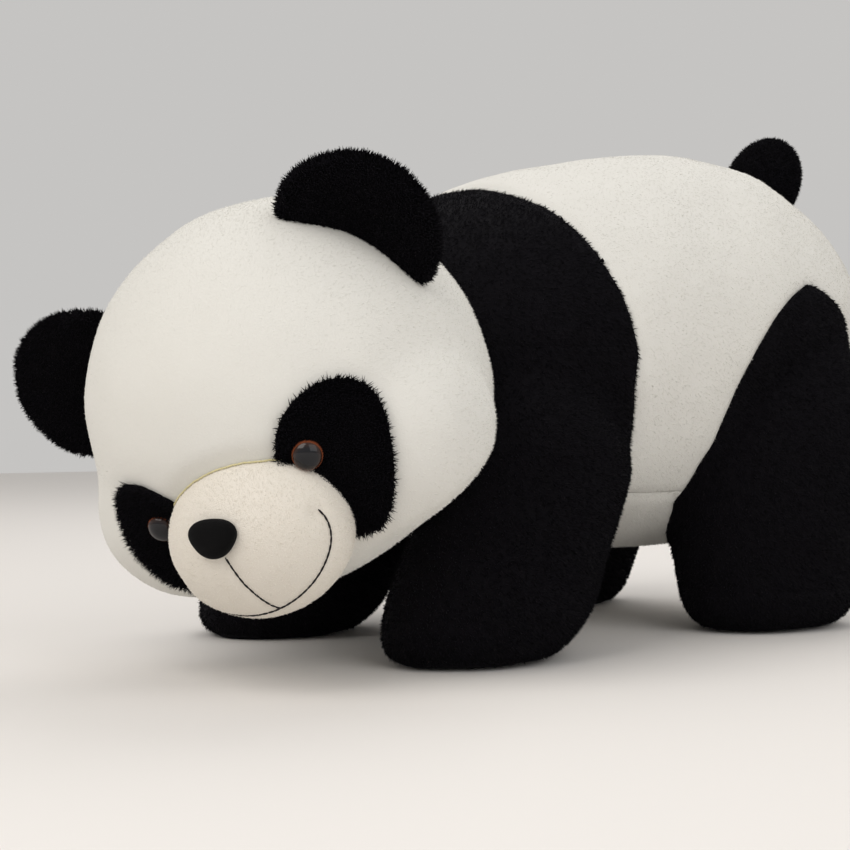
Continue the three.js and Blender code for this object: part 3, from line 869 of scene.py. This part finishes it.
def add_ball(name, place, radii, around=40):
    deselect()
    bpy.ops.mesh.primitive_uv_sphere_add(segments=around, ring_count=around // 2, radius=1)
    piece = bpy.context.object
    piece.name = name
    bpy.ops.object.mode_set(mode="EDIT")
    bpy.ops.mesh.select_all(action="SELECT")
    bpy.ops.transform.resize(value=radii, center_override=(0, 0, 0))
    bpy.ops.transform.translate(value=place)
    bpy.ops.object.mode_set(mode="OBJECT")
    return piece


# %% Head and muzzle forms
HEAD_VOXEL, SMALL_VOXEL = 5.5 * MM, 4.5 * MM
parts = [add_ball("skull", (0, 0, 0), (0.1265, 0.1265, 0.1265), 48)]
parts.append(add_ball("cheek_left", (0.061, -0.040, -0.034), (0.069, 0.065, 0.064)))
parts.append(add_ball("cheek_right", (-0.064, -0.044, -0.015), (0.068, 0.064, 0.062)))
head = join_pieces(*parts)
head.name = "head_skin"
stuff(head, HEAD_VOXEL, pressure=3.0, most=3 * MM)
apply_modifier(head, "SMOOTH", "cheeks", factor=0.5, iterations=8)

CHIN_LEVEL, CHIN_SHARE = -0.070, 0.62
points = points_of(head.data)
low = points[:, 2] < CHIN_LEVEL
points[low, 2] = CHIN_LEVEL + CHIN_SHARE * (points[low, 2] - CHIN_LEVEL)
set_points(head.data, points)

DROOP = math.radians(14.6)
MUZZLE_REACH = 0.1155
MUZZLE_HALF = Vector((0.0585, 0.048, 0.0510))
MUZZLE_PLACE = Vector((0, -MUZZLE_REACH * math.cos(DROOP), -MUZZLE_REACH * math.sin(DROOP)))


def muzzle_field(points):
    """Below zero inside the muzzle, as a share of its half width."""
    away = (points - np.array(MUZZLE_PLACE)) / np.array(MUZZLE_HALF)
    return (np.linalg.norm(away, axis=1) - 1) * MUZZLE_HALF.z


refine(head)
dimple(head, 0.06, 3.5 * MM, "head_broad")
points = points_of(head.data)
normals = normals_of(head.data)
EYE_DIRECTION = {
    side: np.array((math.sin(EYE_TURN) * side, -math.cos(EYE_TURN), 0.0)) for side in (1, -1)
}
EYE_HOLLOW, EYE_HOLLOW_BREADTH = 3.2 * MM, 20 * MM
MUZZLE_HOLLOW, MUZZLE_HOLLOW_BREADTH = 3.0 * MM, 7 * MM
sink = np.zeros(len(points))
for side in (1, -1):
    away = np.linalg.norm(points - EYE_DIRECTION[side] * HEAD_RADIUS, axis=1)
    sink += EYE_HOLLOW * np.exp(-((away / EYE_HOLLOW_BREADTH) ** 2))
sink += MUZZLE_HOLLOW * np.exp(-((muzzle_field(points) / MUZZLE_HOLLOW_BREADTH) ** 2))
set_points(head.data, points - normals * sink[:, None])
print("head", len(head.data.polygons), "faces")

muzzle = add_ball("muzzle_skin", MUZZLE_PLACE, MUZZLE_HALF * 0.975, 48)
stuff(muzzle, SMALL_VOXEL, pressure=3.0, most=2 * MM)
refine(muzzle)


# %% [markdown]
# The mouth is one line of black thread, a short stem under the nose and a wide smile. The
# stitches pull the cream cloth into a shallow groove, which deepens at the corners.

# %% Line of the smile
THREAD = 0.6 * MM


def tree_of(piece):
    mesh = piece.data
    return BVHTree.FromPolygons(
        [v.co for v in mesh.vertices], [tuple(p.vertices) for p in mesh.polygons]
    )


def on_muzzle(tree, x, z, lift=0.0):
    """The place on the muzzle that lies straight ahead of (x, z), lifted off the cloth."""
    start = Vector((x, MUZZLE_PLACE.y - 0.2, MUZZLE_PLACE.z + z))
    place, normal, _, _ = tree.ray_cast(start, Vector((0, 1, 0)))
    return place + normal * lift, normal


NOSE_RISE = 0.0235
STEM_TOP = NOSE_RISE - 0.0125
STEM_DROP = 0.0455
SMILE_HALF = 0.0505
SMILE_LIFT = 0.032
SMILE_TURN = math.radians(100)
STEM_STEPS, LIP_STEPS = 16, 56
GROOVE_DEPTH, GROOVE_BREADTH = 1.3 * MM, 3.2 * MM
CORNER_DEPTH, CORNER_BREADTH = 1.8 * MM, 7 * MM


def smile_lines(tree, lift):
    stem, lips = [], []
    for i in range(STEM_STEPS + 1):
        z = STEM_TOP - STEM_DROP * (i / STEM_STEPS)
        stem.append(on_muzzle(tree, 0, z, lift)[0])
    for i in range(LIP_STEPS + 1):
        turn = SMILE_TURN * (2 * i / LIP_STEPS - 1)
        z = STEM_TOP - STEM_DROP + SMILE_LIFT * (1 - math.cos(turn))
        lips.append(on_muzzle(tree, SMILE_HALF * math.sin(turn), z, lift)[0])
    return stem, lips


stem, lips = smile_lines(tree_of(muzzle), 0)
finder = KDTree(len(stem) + len(lips))
for i, place in enumerate(stem + lips):
    finder.insert(place, i)
finder.balance()
points = points_of(muzzle.data)
normals = normals_of(muzzle.data)
near = np.array([finder.find(p)[2] for p in points])
corner = np.zeros(len(points))
for place in (lips[0], lips[-1]):
    away = np.linalg.norm(points - np.array(place), axis=1)
    corner += np.exp(-((away / CORNER_BREADTH) ** 2))
groove = GROOVE_DEPTH * np.exp(-((near / GROOVE_BREADTH) ** 2)) + CORNER_DEPTH * corner
set_points(muzzle.data, points - normals * groove[:, None])
muzzle_tree = tree_of(muzzle)
stem, lips = smile_lines(muzzle_tree, 0.3 * MM)
print("muzzle", len(muzzle.data.polygons), "faces, smile", len(lips), "points")


# %% Stitch a line of thread
def make_stitch(name, material, thick):
    """One stitch, lying along X and bowed like thread that dives into cloth at each end."""
    stitch = add_ball(name, (0, 0, 0), (0.5, thick, thick), 10)
    stitch.data.materials.append(material)
    return stitch


def stitch_line(name, line, length, overlap, thick, material):
    """Copies one stitch along a line of points and joins the copies."""
    reach = [0.0]
    for a, b in zip(line, line[1:]):
        reach.append(reach[-1] + (b - a).length)
    count = max(2, round(reach[-1] / (length * (1 - overlap))))
    pattern = make_stitch(f"{name}_stitch", material, 1.0)
    shapes = points_of(pattern.data)
    corners = [tuple(p.vertices) for p in pattern.data.polygons]
    places, faces = [], []
    for i in range(count):
        at = reach[-1] * (i + 0.5) / count
        k = min(max(np.searchsorted(reach, at) - 1, 0), len(line) - 2)
        t = (at - reach[k]) / (reach[k + 1] - reach[k])
        here = line[k].lerp(line[k + 1], t)
        along = (line[k + 1] - line[k]).normalized()
        turn = along.to_track_quat("X", "Z").to_matrix()
        size = np.array((length, thick, thick))
        placed = (shapes * size) @ np.array(turn).T + np.array(here)
        faces += [tuple(c + len(places) * len(shapes) for c in f) for f in corners]
        places.append(placed)
    choose(pattern)
    mesh = bpy.data.meshes.new(name)
    mesh.from_pydata(np.concatenate(places).tolist(), [], faces)
    pattern.data = mesh
    pattern.name = name
    mesh.materials.append(material)
    return pattern


def finish_small(piece, node):
    """A hard or stitched piece on the head."""
    shade_soft(piece)
    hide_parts(node)
    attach(piece, "head")


def thread_material(name, light, dark):
    material = plush_material(name, light, dark, 0.1, (1, 1, 1), 2600.0, 0.5)
    set_inputs(shader_of(material), {"Roughness": 0.6})
    return material


BLACK_THREAD = thread_material("black_cotton", (0.014, 0.012, 0.013), (0.006, 0.005, 0.006))
YELLOW_THREAD = thread_material("yellow_cotton", (0.74, 0.68, 0.42), (0.60, 0.53, 0.28))
mouth = stitch_line("mouth_stem", stem, 5.5 * MM, 0.22, THREAD, BLACK_THREAD)
smile = stitch_line("mouth_stitches", lips, 5.5 * MM, 0.22, THREAD, BLACK_THREAD)
mouth = join_pieces(smile, mouth)
seat_on_head(mouth)
finish_small(mouth, "mouth_thread")
print("mouth", len(mouth.data.polygons), "faces")


# %% [markdown]
# Where the muzzle is sewn to the brow, a pale yellow thread shows in the seam. It follows
# the line on which the muzzle and the brow meet.

# %% Seam thread over the muzzle
head_tree = tree_of(head)
SEAM_GAP, SEAM_LIFT = 1.2 * MM, 0.9 * MM


def seam_point(angle):
    """Walks from the tip of the muzzle back along its skin to where it meets the head."""
    for step in range(20, 96):
        back = math.radians(step)
        out = Vector((
            math.sin(angle) * math.sin(back), -math.cos(back), math.cos(angle) * math.sin(back)
        ))
        far = MUZZLE_PLACE + out * 0.2
        place, normal, _, _ = muzzle_tree.ray_cast(far, -out)
        if place is None:
            continue
        onto, face, _, _ = head_tree.find_nearest(place)
        if (place - onto).dot(face) < SEAM_GAP:
            return place + (normal + face).normalized() * SEAM_LIFT
    return place


line = [seam_point(math.radians(a)) for a in range(-52, 53, 4)]
yellow = stitch_line("muzzle_seam_stitches", line, 4.2 * MM, 0.3, 0.6 * MM, YELLOW_THREAD)
seat_on_head(yellow)
finish_small(yellow, "muzzle_seam_thread")
print("seam thread", len(yellow.data.polygons), "faces")


# %% [markdown]
# Each eye patch is a separate piece of longer black plush, sewn on the face. It is cut from
# a copy of the head's own surface, so it follows the cheek and the hollow round the eye,
# and then lifted a little and given a thickness.

# %% Eye patches
PATCH_SHAPE = {
    # side: place across and up, half width, half height, tilt
    1: (0.0625, -0.017, 0.0300, 0.0475, math.radians(-18)),
    -1: (0.0575, -0.013, 0.0265, 0.0440, math.radians(0)),
}
PATCH_EDGE, PATCH_RISE = 0.9 * MM, 1.9 * MM


def patch_field(points, side):
    """Signed distance to the pear outline of the patch, seen from straight ahead."""
    across, up, half_width, half_height, tilt = PATCH_SHAPE[side]
    x = points[:, 0] * side - across
    z = points[:, 2] - up
    u = x * math.cos(tilt) + z * math.sin(tilt)
    v = -x * math.sin(tilt) + z * math.cos(tilt)
    wide = half_width * (1 + 0.16 * np.clip(v / half_height, -1, 1))
    share = np.hypot(u / wide, v / half_height)
    return (share - 1) * half_width + np.where(points[:, 1] > 0, 1.0, 0.0)


def make_patch(side, name):
    centres = face_middles(head.data)
    keep = (patch_field(centres, side) < 0) & (muzzle_field(centres) > -6 * MM)
    patch = copy_piece(head, name)
    keep_faces(patch, keep)
    refine(patch)
    rim = np.zeros(len(patch.data.vertices), bool)
    for edge in rim_edges(patch.data):
        rim[list(edge)] = True
    onto_seam(patch.data, np.flatnonzero(rim & (muzzle_field(points_of(patch.data)) > 0)),
              lambda p: patch_field(p, side))
    inside = np.clip(-patch_field(points_of(patch.data), side) / (6 * MM), 0, 1)
    lift = PATCH_EDGE + PATCH_RISE * inside ** 0.6
    set_points(patch.data, points_of(patch.data) + normals_of(patch.data) * lift[:, None])
    return patch


def rim_edges(mesh):
    """The edges that only one face uses."""
    seen = {}
    for face in mesh.polygons:
        for key in face.edge_keys:
            seen[key] = seen.get(key, 0) + 1
    return [key for key, uses in seen.items() if uses == 1]


patches = {side: make_patch(side, f"eye_patch_{name}") for side, name in SIDES}
print("patches", [len(p.data.polygons) for p in patches.values()])


# %% Finish a sewn panel
BAKE_COLUMNS, BAKE_ROWS = 3, 2


def lay_out(piece):
    """A plain UV map: six views of the piece, one in each cell of a 3 by 2 sheet."""
    mesh = piece.data
    normals = read_rows(mesh.polygons, "normal")
    axis = np.argmax(np.abs(normals), axis=1)
    sign = np.take_along_axis(normals, axis[:, None], 1)[:, 0] > 0
    cell = axis * 2 + sign
    counts, corners = corners_of(mesh)
    points = points_of(mesh)
    low, high = points.min(axis=0), points.max(axis=0)
    unit = ((points - low) / max((high - low).max(), 1e-6))[corners]
    owner_axis, owner_cell = np.repeat(axis, counts), np.repeat(cell, counts)
    first = np.where(owner_axis == 0, unit[:, 1], unit[:, 0])
    second = np.where(owner_axis == 2, unit[:, 1], unit[:, 2])
    column, row = owner_cell % BAKE_COLUMNS, owner_cell // BAKE_COLUMNS
    uv = np.stack([
        (column + 0.02 + 0.96 * first) / BAKE_COLUMNS, (row + 0.02 + 0.96 * second) / BAKE_ROWS,
    ], axis=1)
    while mesh.uv_layers:
        mesh.uv_layers.remove(mesh.uv_layers[0])
    layer = mesh.uv_layers.new(name="OFBake")
    layer.data.foreach_set("uv", uv.astype(np.float32).ravel())


def finish_panel(piece, material, nodes, rides, thickness=2.5 * MM):
    """Gives a panel its cloth. A thickness makes an open panel a closed sheet."""
    piece.data.materials.clear()
    piece.data.materials.append(material)
    if thickness:
        apply_modifier(piece, "SOLIDIFY", "backing", thickness=thickness, offset=-1.0)
    piece.name = piece.data.name = "soft_" + piece.name.split(".")[0]
    lay_out(piece)
    shade_soft(piece)
    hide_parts(*nodes)
    rides(piece)


def finish_pile(piece, rides):
    rides(piece)


def on(name):
    return lambda piece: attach(piece, name)


# %% Pile on the patches, the head and the muzzle
for side, name in SIDES:
    patch = patches[side]
    skin_points = points_of(patch.data)
    rim = np.clip(1 + patch_field(skin_points, side) / (7 * MM), 0, 1)
    length = (2.9 + 2.5 * rim) * MM
    outward = Vector((side * 0.25, -0.1, 0.12))
    fur = grow_pile(
        patch, f"eye_patch_pile_{name}", mixed(BLACK_TUFTS, 1.7e6, 1.0 * MM), length,
        outward, lift=0.65, spread=0.55, seed=40 + side,
    )
    seat_on_head(fur)
    seat_on_head(patch)
    finish_panel(patch, BLACK, [f"eye_patch_{name}"], on("head"), 2 * MM)
    finish_pile(fur, on("head"))

bare = muzzle_field(points_of(head.data))
length = np.where(bare < 0, 0.001, 1.8) * MM
HEAD_COMB = (0, 0.55, -0.25)
fur = grow_pile(
    head, "head_pile", mixed(WHITE_TUFTS, 2.35e5, 0.5 * MM), length, HEAD_COMB,
    lift=0.34, spread=0.18, seed=3)
seat_on_head(fur)
seat_on_head(head)
finish_panel(head, WHITE, ["head_skin", "head_stuffing"], on("head"), 0)
finish_pile(fur, on("head"))
fur = grow_pile(
    muzzle, "muzzle_pile", mixed(CREAM_TUFTS, 7.0e5, 0.5 * MM), 1.2 * MM, (0, 0.6, 0.1),
    lift=0.5, spread=0.3, seed=7)
seat_on_head(fur)
seat_on_head(muzzle)
finish_panel(muzzle, CREAM, ["muzzle_skin", "muzzle_stuffing"], on("head"), 0)
finish_pile(fur, on("head"))


# %% [markdown]
# The eyes are glossy safety eyes: a clear brown dome over a black pupil, with a thin amber
# rim. The finish reads how far each point stands from the eye's own axis.

# %% Eyes
def eye_material():
    material = plain_material("eye_dome", (0.02, 0.01, 0.008), 0.08)
    tree = material.node_tree
    share = add_node(tree, "ShaderNodeAttribute", attribute_name="rim_share")
    rings = add_node(tree, "ShaderNodeValToRGB", {"Fac": share.outputs["Fac"]})
    stops = rings.color_ramp.elements
    stops[0].position, stops[0].color = 0.0, (0.004, 0.004, 0.006, 1)
    stops[1].position, stops[1].color = 0.60, (0.006, 0.006, 0.008, 1)
    for place, color in (
        (0.72, (0.014, 0.009, 0.009)), (0.88, (0.035, 0.015, 0.010)),
        (0.93, (0.19, 0.052, 0.022)), (0.99, (0.11, 0.032, 0.016)),
    ):
        stop = stops.new(place)
        stop.color = (*color, 1)
    set_inputs(shader_of(material), {
        "Base Color": rings.outputs["Color"], "Specular IOR Level": 0.3, "Coat Weight": 0.15,
        "Coat Roughness": 0.03,
    })
    return material


EYE_PLASTIC = eye_material()
EYE_HALF = 9 * MM
EYE_DOME = 6.4 * MM
EYE_EDGE = 1.2 * MM
EYE_INWARD = {1: -0.10, -1: 0.42}
EYE_STAND = {1: 3.2 * MM, -1: 2.2 * MM}


def face_matrix(side, distance):
    """A frame out on the face at this eye. Its Z looks out, and a little to the muzzle."""
    out = Vector(EYE_DIRECTION[side]).normalized()
    look = Vector((out.x + EYE_INWARD[side], out.y, out.z))
    return Matrix.Translation(out * distance) @ look.to_track_quat("Z", "Y").to_matrix().to_4x4()


def make_eye(side, name, distance):
    """A low cylinder that ends in a dome."""
    rings = [((0, 0, -3 * MM), EYE_HALF * 0.5, EYE_HALF * 0.5),
             ((0, 0, 0), EYE_HALF * 0.96, EYE_HALF * 0.96),
             ((0, 0, 0.5 * MM), EYE_HALF, EYE_HALF), ((0, 0, EYE_EDGE), EYE_HALF, EYE_HALF)]
    for i in range(1, 12):
        a = math.pi / 2 * i / 12
        rings.append(((0, 0, EYE_EDGE + EYE_DOME * math.sin(a)),
                      EYE_HALF * math.cos(a), EYE_HALF * math.cos(a)))
    eye = pull_rings(f"domed_{name}", rings, 40)
    points = points_of(eye.data)
    set_number(eye.data, "rim_share", np.hypot(points[:, 0], points[:, 1]) / EYE_HALF)
    eye.data.transform(face_matrix(side, distance))
    eye.data.materials.append(EYE_PLASTIC)
    seat_on_head(eye)
    lay_out(eye)
    finish_small(eye, name)
    return eye


for side, name in SIDES:
    out = Vector(EYE_DIRECTION[side])
    place, _, _, _ = head_tree.ray_cast(out * 0.3, -out)
    make_eye(side, f"eye_{name}", place.length + EYE_STAND[side])
print("eyes at", round(place.length, 4))


# %% [markdown]
# The nose is a rounded triangle of stiff form under black flock. It is drawn as an outline,
# pulled forward in rings and closed with a soft crown.

# %% Nose
FLOCK = plush_material(
    "nose_flock", (0.0035, 0.0032, 0.0035), (0.002, 0.002, 0.002), 0.03, (0.5, 0.5, 0.56),
    3200.0, 0.6)
NOSE_HALF = (15.0 * MM, 11.2 * MM)
NOSE_TURN = math.radians(-20)


def nose_outline(angle):
    """Half width of a triangle with round corners, point down."""
    x, z = math.cos(angle), math.sin(angle)
    pull = 1.0 + 0.07 * math.cos(3 * (angle + math.pi / 2))
    return x * NOSE_HALF[0] * pull, z * NOSE_HALF[1] * pull


def make_nose():
    rings = [(0.0, 0.86), (0.8, 0.95), (2.2, 1.0), (4.4, 1.0), (6.2, 0.93), (7.6, 0.80),
             (8.6, 0.58), (9.1, 0.30)]
    nose = pull_rings("flocked_nose", [((0, 0, h * MM), s, s) for h, s in rings], 48)
    points = points_of(nose.data)
    for p in points:
        angle = math.atan2(p[1], p[0])
        radius = math.hypot(p[0], p[1])
        x, y = nose_outline(angle)
        p[0], p[1] = x * radius, y * radius
    set_points(nose.data, points)
    place, normal = on_muzzle(muzzle_tree, 0, NOSE_RISE)
    turn = normal.to_track_quat("Z", "Y").to_matrix().to_4x4()
    turn @= Matrix.Rotation(NOSE_TURN, 4, "Z")
    nose.data.transform(Matrix.Translation(place - normal * 1.5 * MM) @ turn)
    nose.data.materials.append(FLOCK)
    seat_on_head(nose)
    refine(nose)
    lay_out(nose)
    finish_small(nose, "nose")
    return nose


nose = make_nose()
print("nose", len(nose.data.polygons), "faces")


# %% [markdown]
# Each ear is a flat round pocket of black plush with wadding in it: a front and a back,
# sewn round the edge, and pushed into the seam of the head. The front is a little hollow.

# %% Ears
EAR_TURN = math.radians(55.4)
EAR_HALF = (54 * MM, 14 * MM, 49.5 * MM)
EAR_RISE = 6 * MM
EAR_LEAN = math.radians(14)


def ear_matrix(side):
    lean = Matrix.Rotation(EAR_LEAN, 4, "X")
    out = Matrix.Rotation(side * EAR_TURN, 4, "Y")
    return out @ Matrix.Translation((0, 0, HEAD_RADIUS)) @ lean @ Matrix.Translation(
        (0, 0, EAR_RISE))


def make_ear(side, name):
    half = (EAR_HALF[0] * 0.98, EAR_HALF[1] * 0.95, EAR_HALF[2] * 0.98)
    lobe = add_ball(f"ear_{name}", (0, 0, 0), half, 40)
    stuff(lobe, SMALL_VOXEL, pressure=2.0, most=2 * MM)
    refine(lobe)
    points = points_of(lobe.data)
    share = np.hypot(points[:, 0] / EAR_HALF[0], points[:, 2] / EAR_HALF[2])
    front = points[:, 1] < 0
    points[:, 1] += np.where(front, 9 * MM * np.exp(-((share / 0.55) ** 2)), 0)
    bow = 10 * MM * (points[:, 0] / EAR_HALF[0]) ** 2
    points[:, 1] -= bow
    set_points(lobe.data, points)
    sink_seam(lobe.data, np.where(share > 0.8, points[:, 1] + bow, 1.0), 2.5 * MM, 1.6 * MM)
    return lobe


for side, name in SIDES:
    lobe = make_ear(side, name)
    lobe_points = points_of(lobe.data)
    rim = np.clip(np.hypot(lobe_points[:, 0] / EAR_HALF[0], lobe_points[:, 2] / EAR_HALF[2]), 0, 1)
    length = np.where(lobe_points[:, 2] < -0.035, 0.01, 2.6 + 3.6 * rim ** 6) * MM
    fur = grow_pile(
        lobe, f"ear_pile_{name}", mixed(BLACK_TUFTS, 1.05e6, 1.2 * MM), length,
        (0, 0, 0.3), lift=0.6, spread=0.45, seed=60 + side,
    )
    for piece in (lobe, fur):
        piece.data.transform(ear_matrix(side))
        seat_on_head(piece)
    to_ear = TO_HEAD @ ear_matrix(side)
    centre, facing = to_ear @ Vector((0, 0, 0)), to_ear.to_3x3() @ Vector((0, -1, 0))
    ahead = (face_middles(lobe.data) - np.array(centre)) @ np.array(facing) > 0
    back = copy_piece(lobe, f"ear_back_{name}")
    keep_faces(back, ~ahead)
    keep_faces(lobe, ahead)
    lobe.name = f"ear_front_{name}"
    finish_panel(back, BLACK, [f"ear_back_{name}", f"ear_wadding_{name}"],
                 on(f"ear_{name}"), 2 * MM)
    finish_panel(lobe, BLACK, [f"ear_front_{name}"], on(f"ear_{name}"), 2 * MM)
    finish_pile(fur, on(f"ear_{name}"))


# %% [markdown]
# The tail is a stuffed black nub that points up and back. Its root goes on inside the rump,
# so that it stays closed as it wags.

# %% Tail
TAIL_LEAN = math.radians(56)
TAIL_HALF = (31 * MM, 46 * MM, 31 * MM)
TAIL_SHIFT = Vector((0, -4 * MM, -3 * MM))
tail_root = Vector(JOINTS["tail_wag"]["pos_m"])
tail = add_ball("tail_skin", (0, TAIL_HALF[1] * 0.7, 0), tuple(0.97 * v for v in TAIL_HALF), 32)
stuff(tail, SMALL_VOXEL, pressure=2.0, most=2 * MM)
refine(tail)
tail.data.transform(Matrix.Translation(tail_root + TAIL_SHIFT) @ Matrix.Rotation(TAIL_LEAN, 4, "X"))
fur = grow_pile(
    tail, "tail_pile", mixed(BLACK_TUFTS, 1.0e6, 1.2 * MM), 4.2 * MM, (0, 0.1, -0.2),
    lift=0.6, spread=0.55, seed=80)
finish_panel(tail, BLACK, ["tail_skin", "tail_stuffing"], on("tail"), 0)
finish_pile(fur, on("tail"))


# %% [markdown]
# Inside the collar of the head a short neck of black cloth closes the gap, whichever way
# the head leans. It is a ball on the neck's own turning point, with its fill inside.

# %% Neck
neck_place = Vector(JOINTS["neck_turn"]["pos_m"])
neck = add_ball("neck_collar", neck_place, (0.060, 0.060, 0.060), 36)
stuff(neck, 6 * MM, pressure=2.0, most=2 * MM)
finish_panel(neck, BLACK, ["neck_collar"], on("neck_ring"), 0)
FIBRE = plush_material(
    "fibre_fill", (0.90, 0.89, 0.86), (0.80, 0.79, 0.76), 0.2, (1, 1, 1), 300.0, 0.6)
core = add_ball("neck_stuffing", neck_place, (0.050, 0.050, 0.050), 32)
dimple(core, 0.02, 4 * MM, "fibre")
finish_panel(core, FIBRE, ["neck_stuffing"], on("neck_core"), 0)
print("neck at", tuple(round(v, 3) for v in neck_place))


# %% [markdown]
# The legs are part of the body's cloth. Each leg panel and its pile keep the place where they
# were sewn, and are not attached to the leg. The white panels and the band stay still.


def leg_blend():
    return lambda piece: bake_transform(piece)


BODY_COMB = (0, 0.45, -0.35)
BODY_PILE = {
    # tufts, length in millimetres, lift, spread
    "white": (mixed(WHITE_TUFTS, 1.9e5, 0.5 * MM), 1.7, 0.34, 0.18),
    "black": (mixed(BLACK_TUFTS, 4.2e5, 1.0 * MM), 3.4, 0.55, 0.42),
}
for order, (name, panel) in enumerate(panels.items()):
    white = name in WHITE_PANELS
    leg = name.rsplit("_", 1)[0]
    if white or name == "shoulder_band":
        rides = on("torso")
        nodes = [name] + (["torso_stuffing"] if name == "torso_skin" else [])
    elif name.endswith("_sole"):
        rides, nodes = on(f"{leg}_leg"), [name]
    else:
        rides = leg_blend()
        nodes = [f"{leg}_leg_skin", f"{leg}_leg_stuffing"]
        if leg.startswith("hind"):
            nodes.append("haunch_" + leg.split("_")[1])
    if not name.endswith("_sole"):
        tufts, full, lift, spread = BODY_PILE["white" if white else "black"]
        height = points_of(panel.data)[:, 2]
        length = np.where(height < 4 * MM, 0.4, full) * MM
        fur = grow_pile(
            panel, f"{name}_pile", tufts, length, BODY_COMB, lift, spread, 100 + 10 * order)
        finish_pile(fur, rides)
    finish_panel(panel, WHITE if white else BLACK, nodes, rides)

choose(*(WHITE_TUFTS + BLACK_TUFTS + CREAM_TUFTS))
bpy.ops.object.delete()


# %% [markdown]
# Last, the hidden washers get a moulded plastic, and the triangles of every shown piece are
# counted.

# %% Washers, triangle count and the end
WASHER = plush_material(
    "moulded_plastic", (0.80, 0.79, 0.75), (0.72, 0.71, 0.67), 0.0, (1, 1, 1), 500.0, 0.1)
for node in ("eye_washer_left", "eye_washer_right", "nose_washer"):
    mesh = bpy.data.objects[node].data
    mesh.materials.clear()
    mesh.materials.append(WASHER)

MOST_TRIANGLES = 200000
total = 0
for thing in bpy.data.objects:
    if thing.type == "MESH" and not thing.hide_render:
        thing.data.calc_loop_triangles()
        count = len(thing.data.loop_triangles)
        total += count
        if count > MOST_TRIANGLES:
            print("too many triangles", thing.name, count)
print("triangles", total)
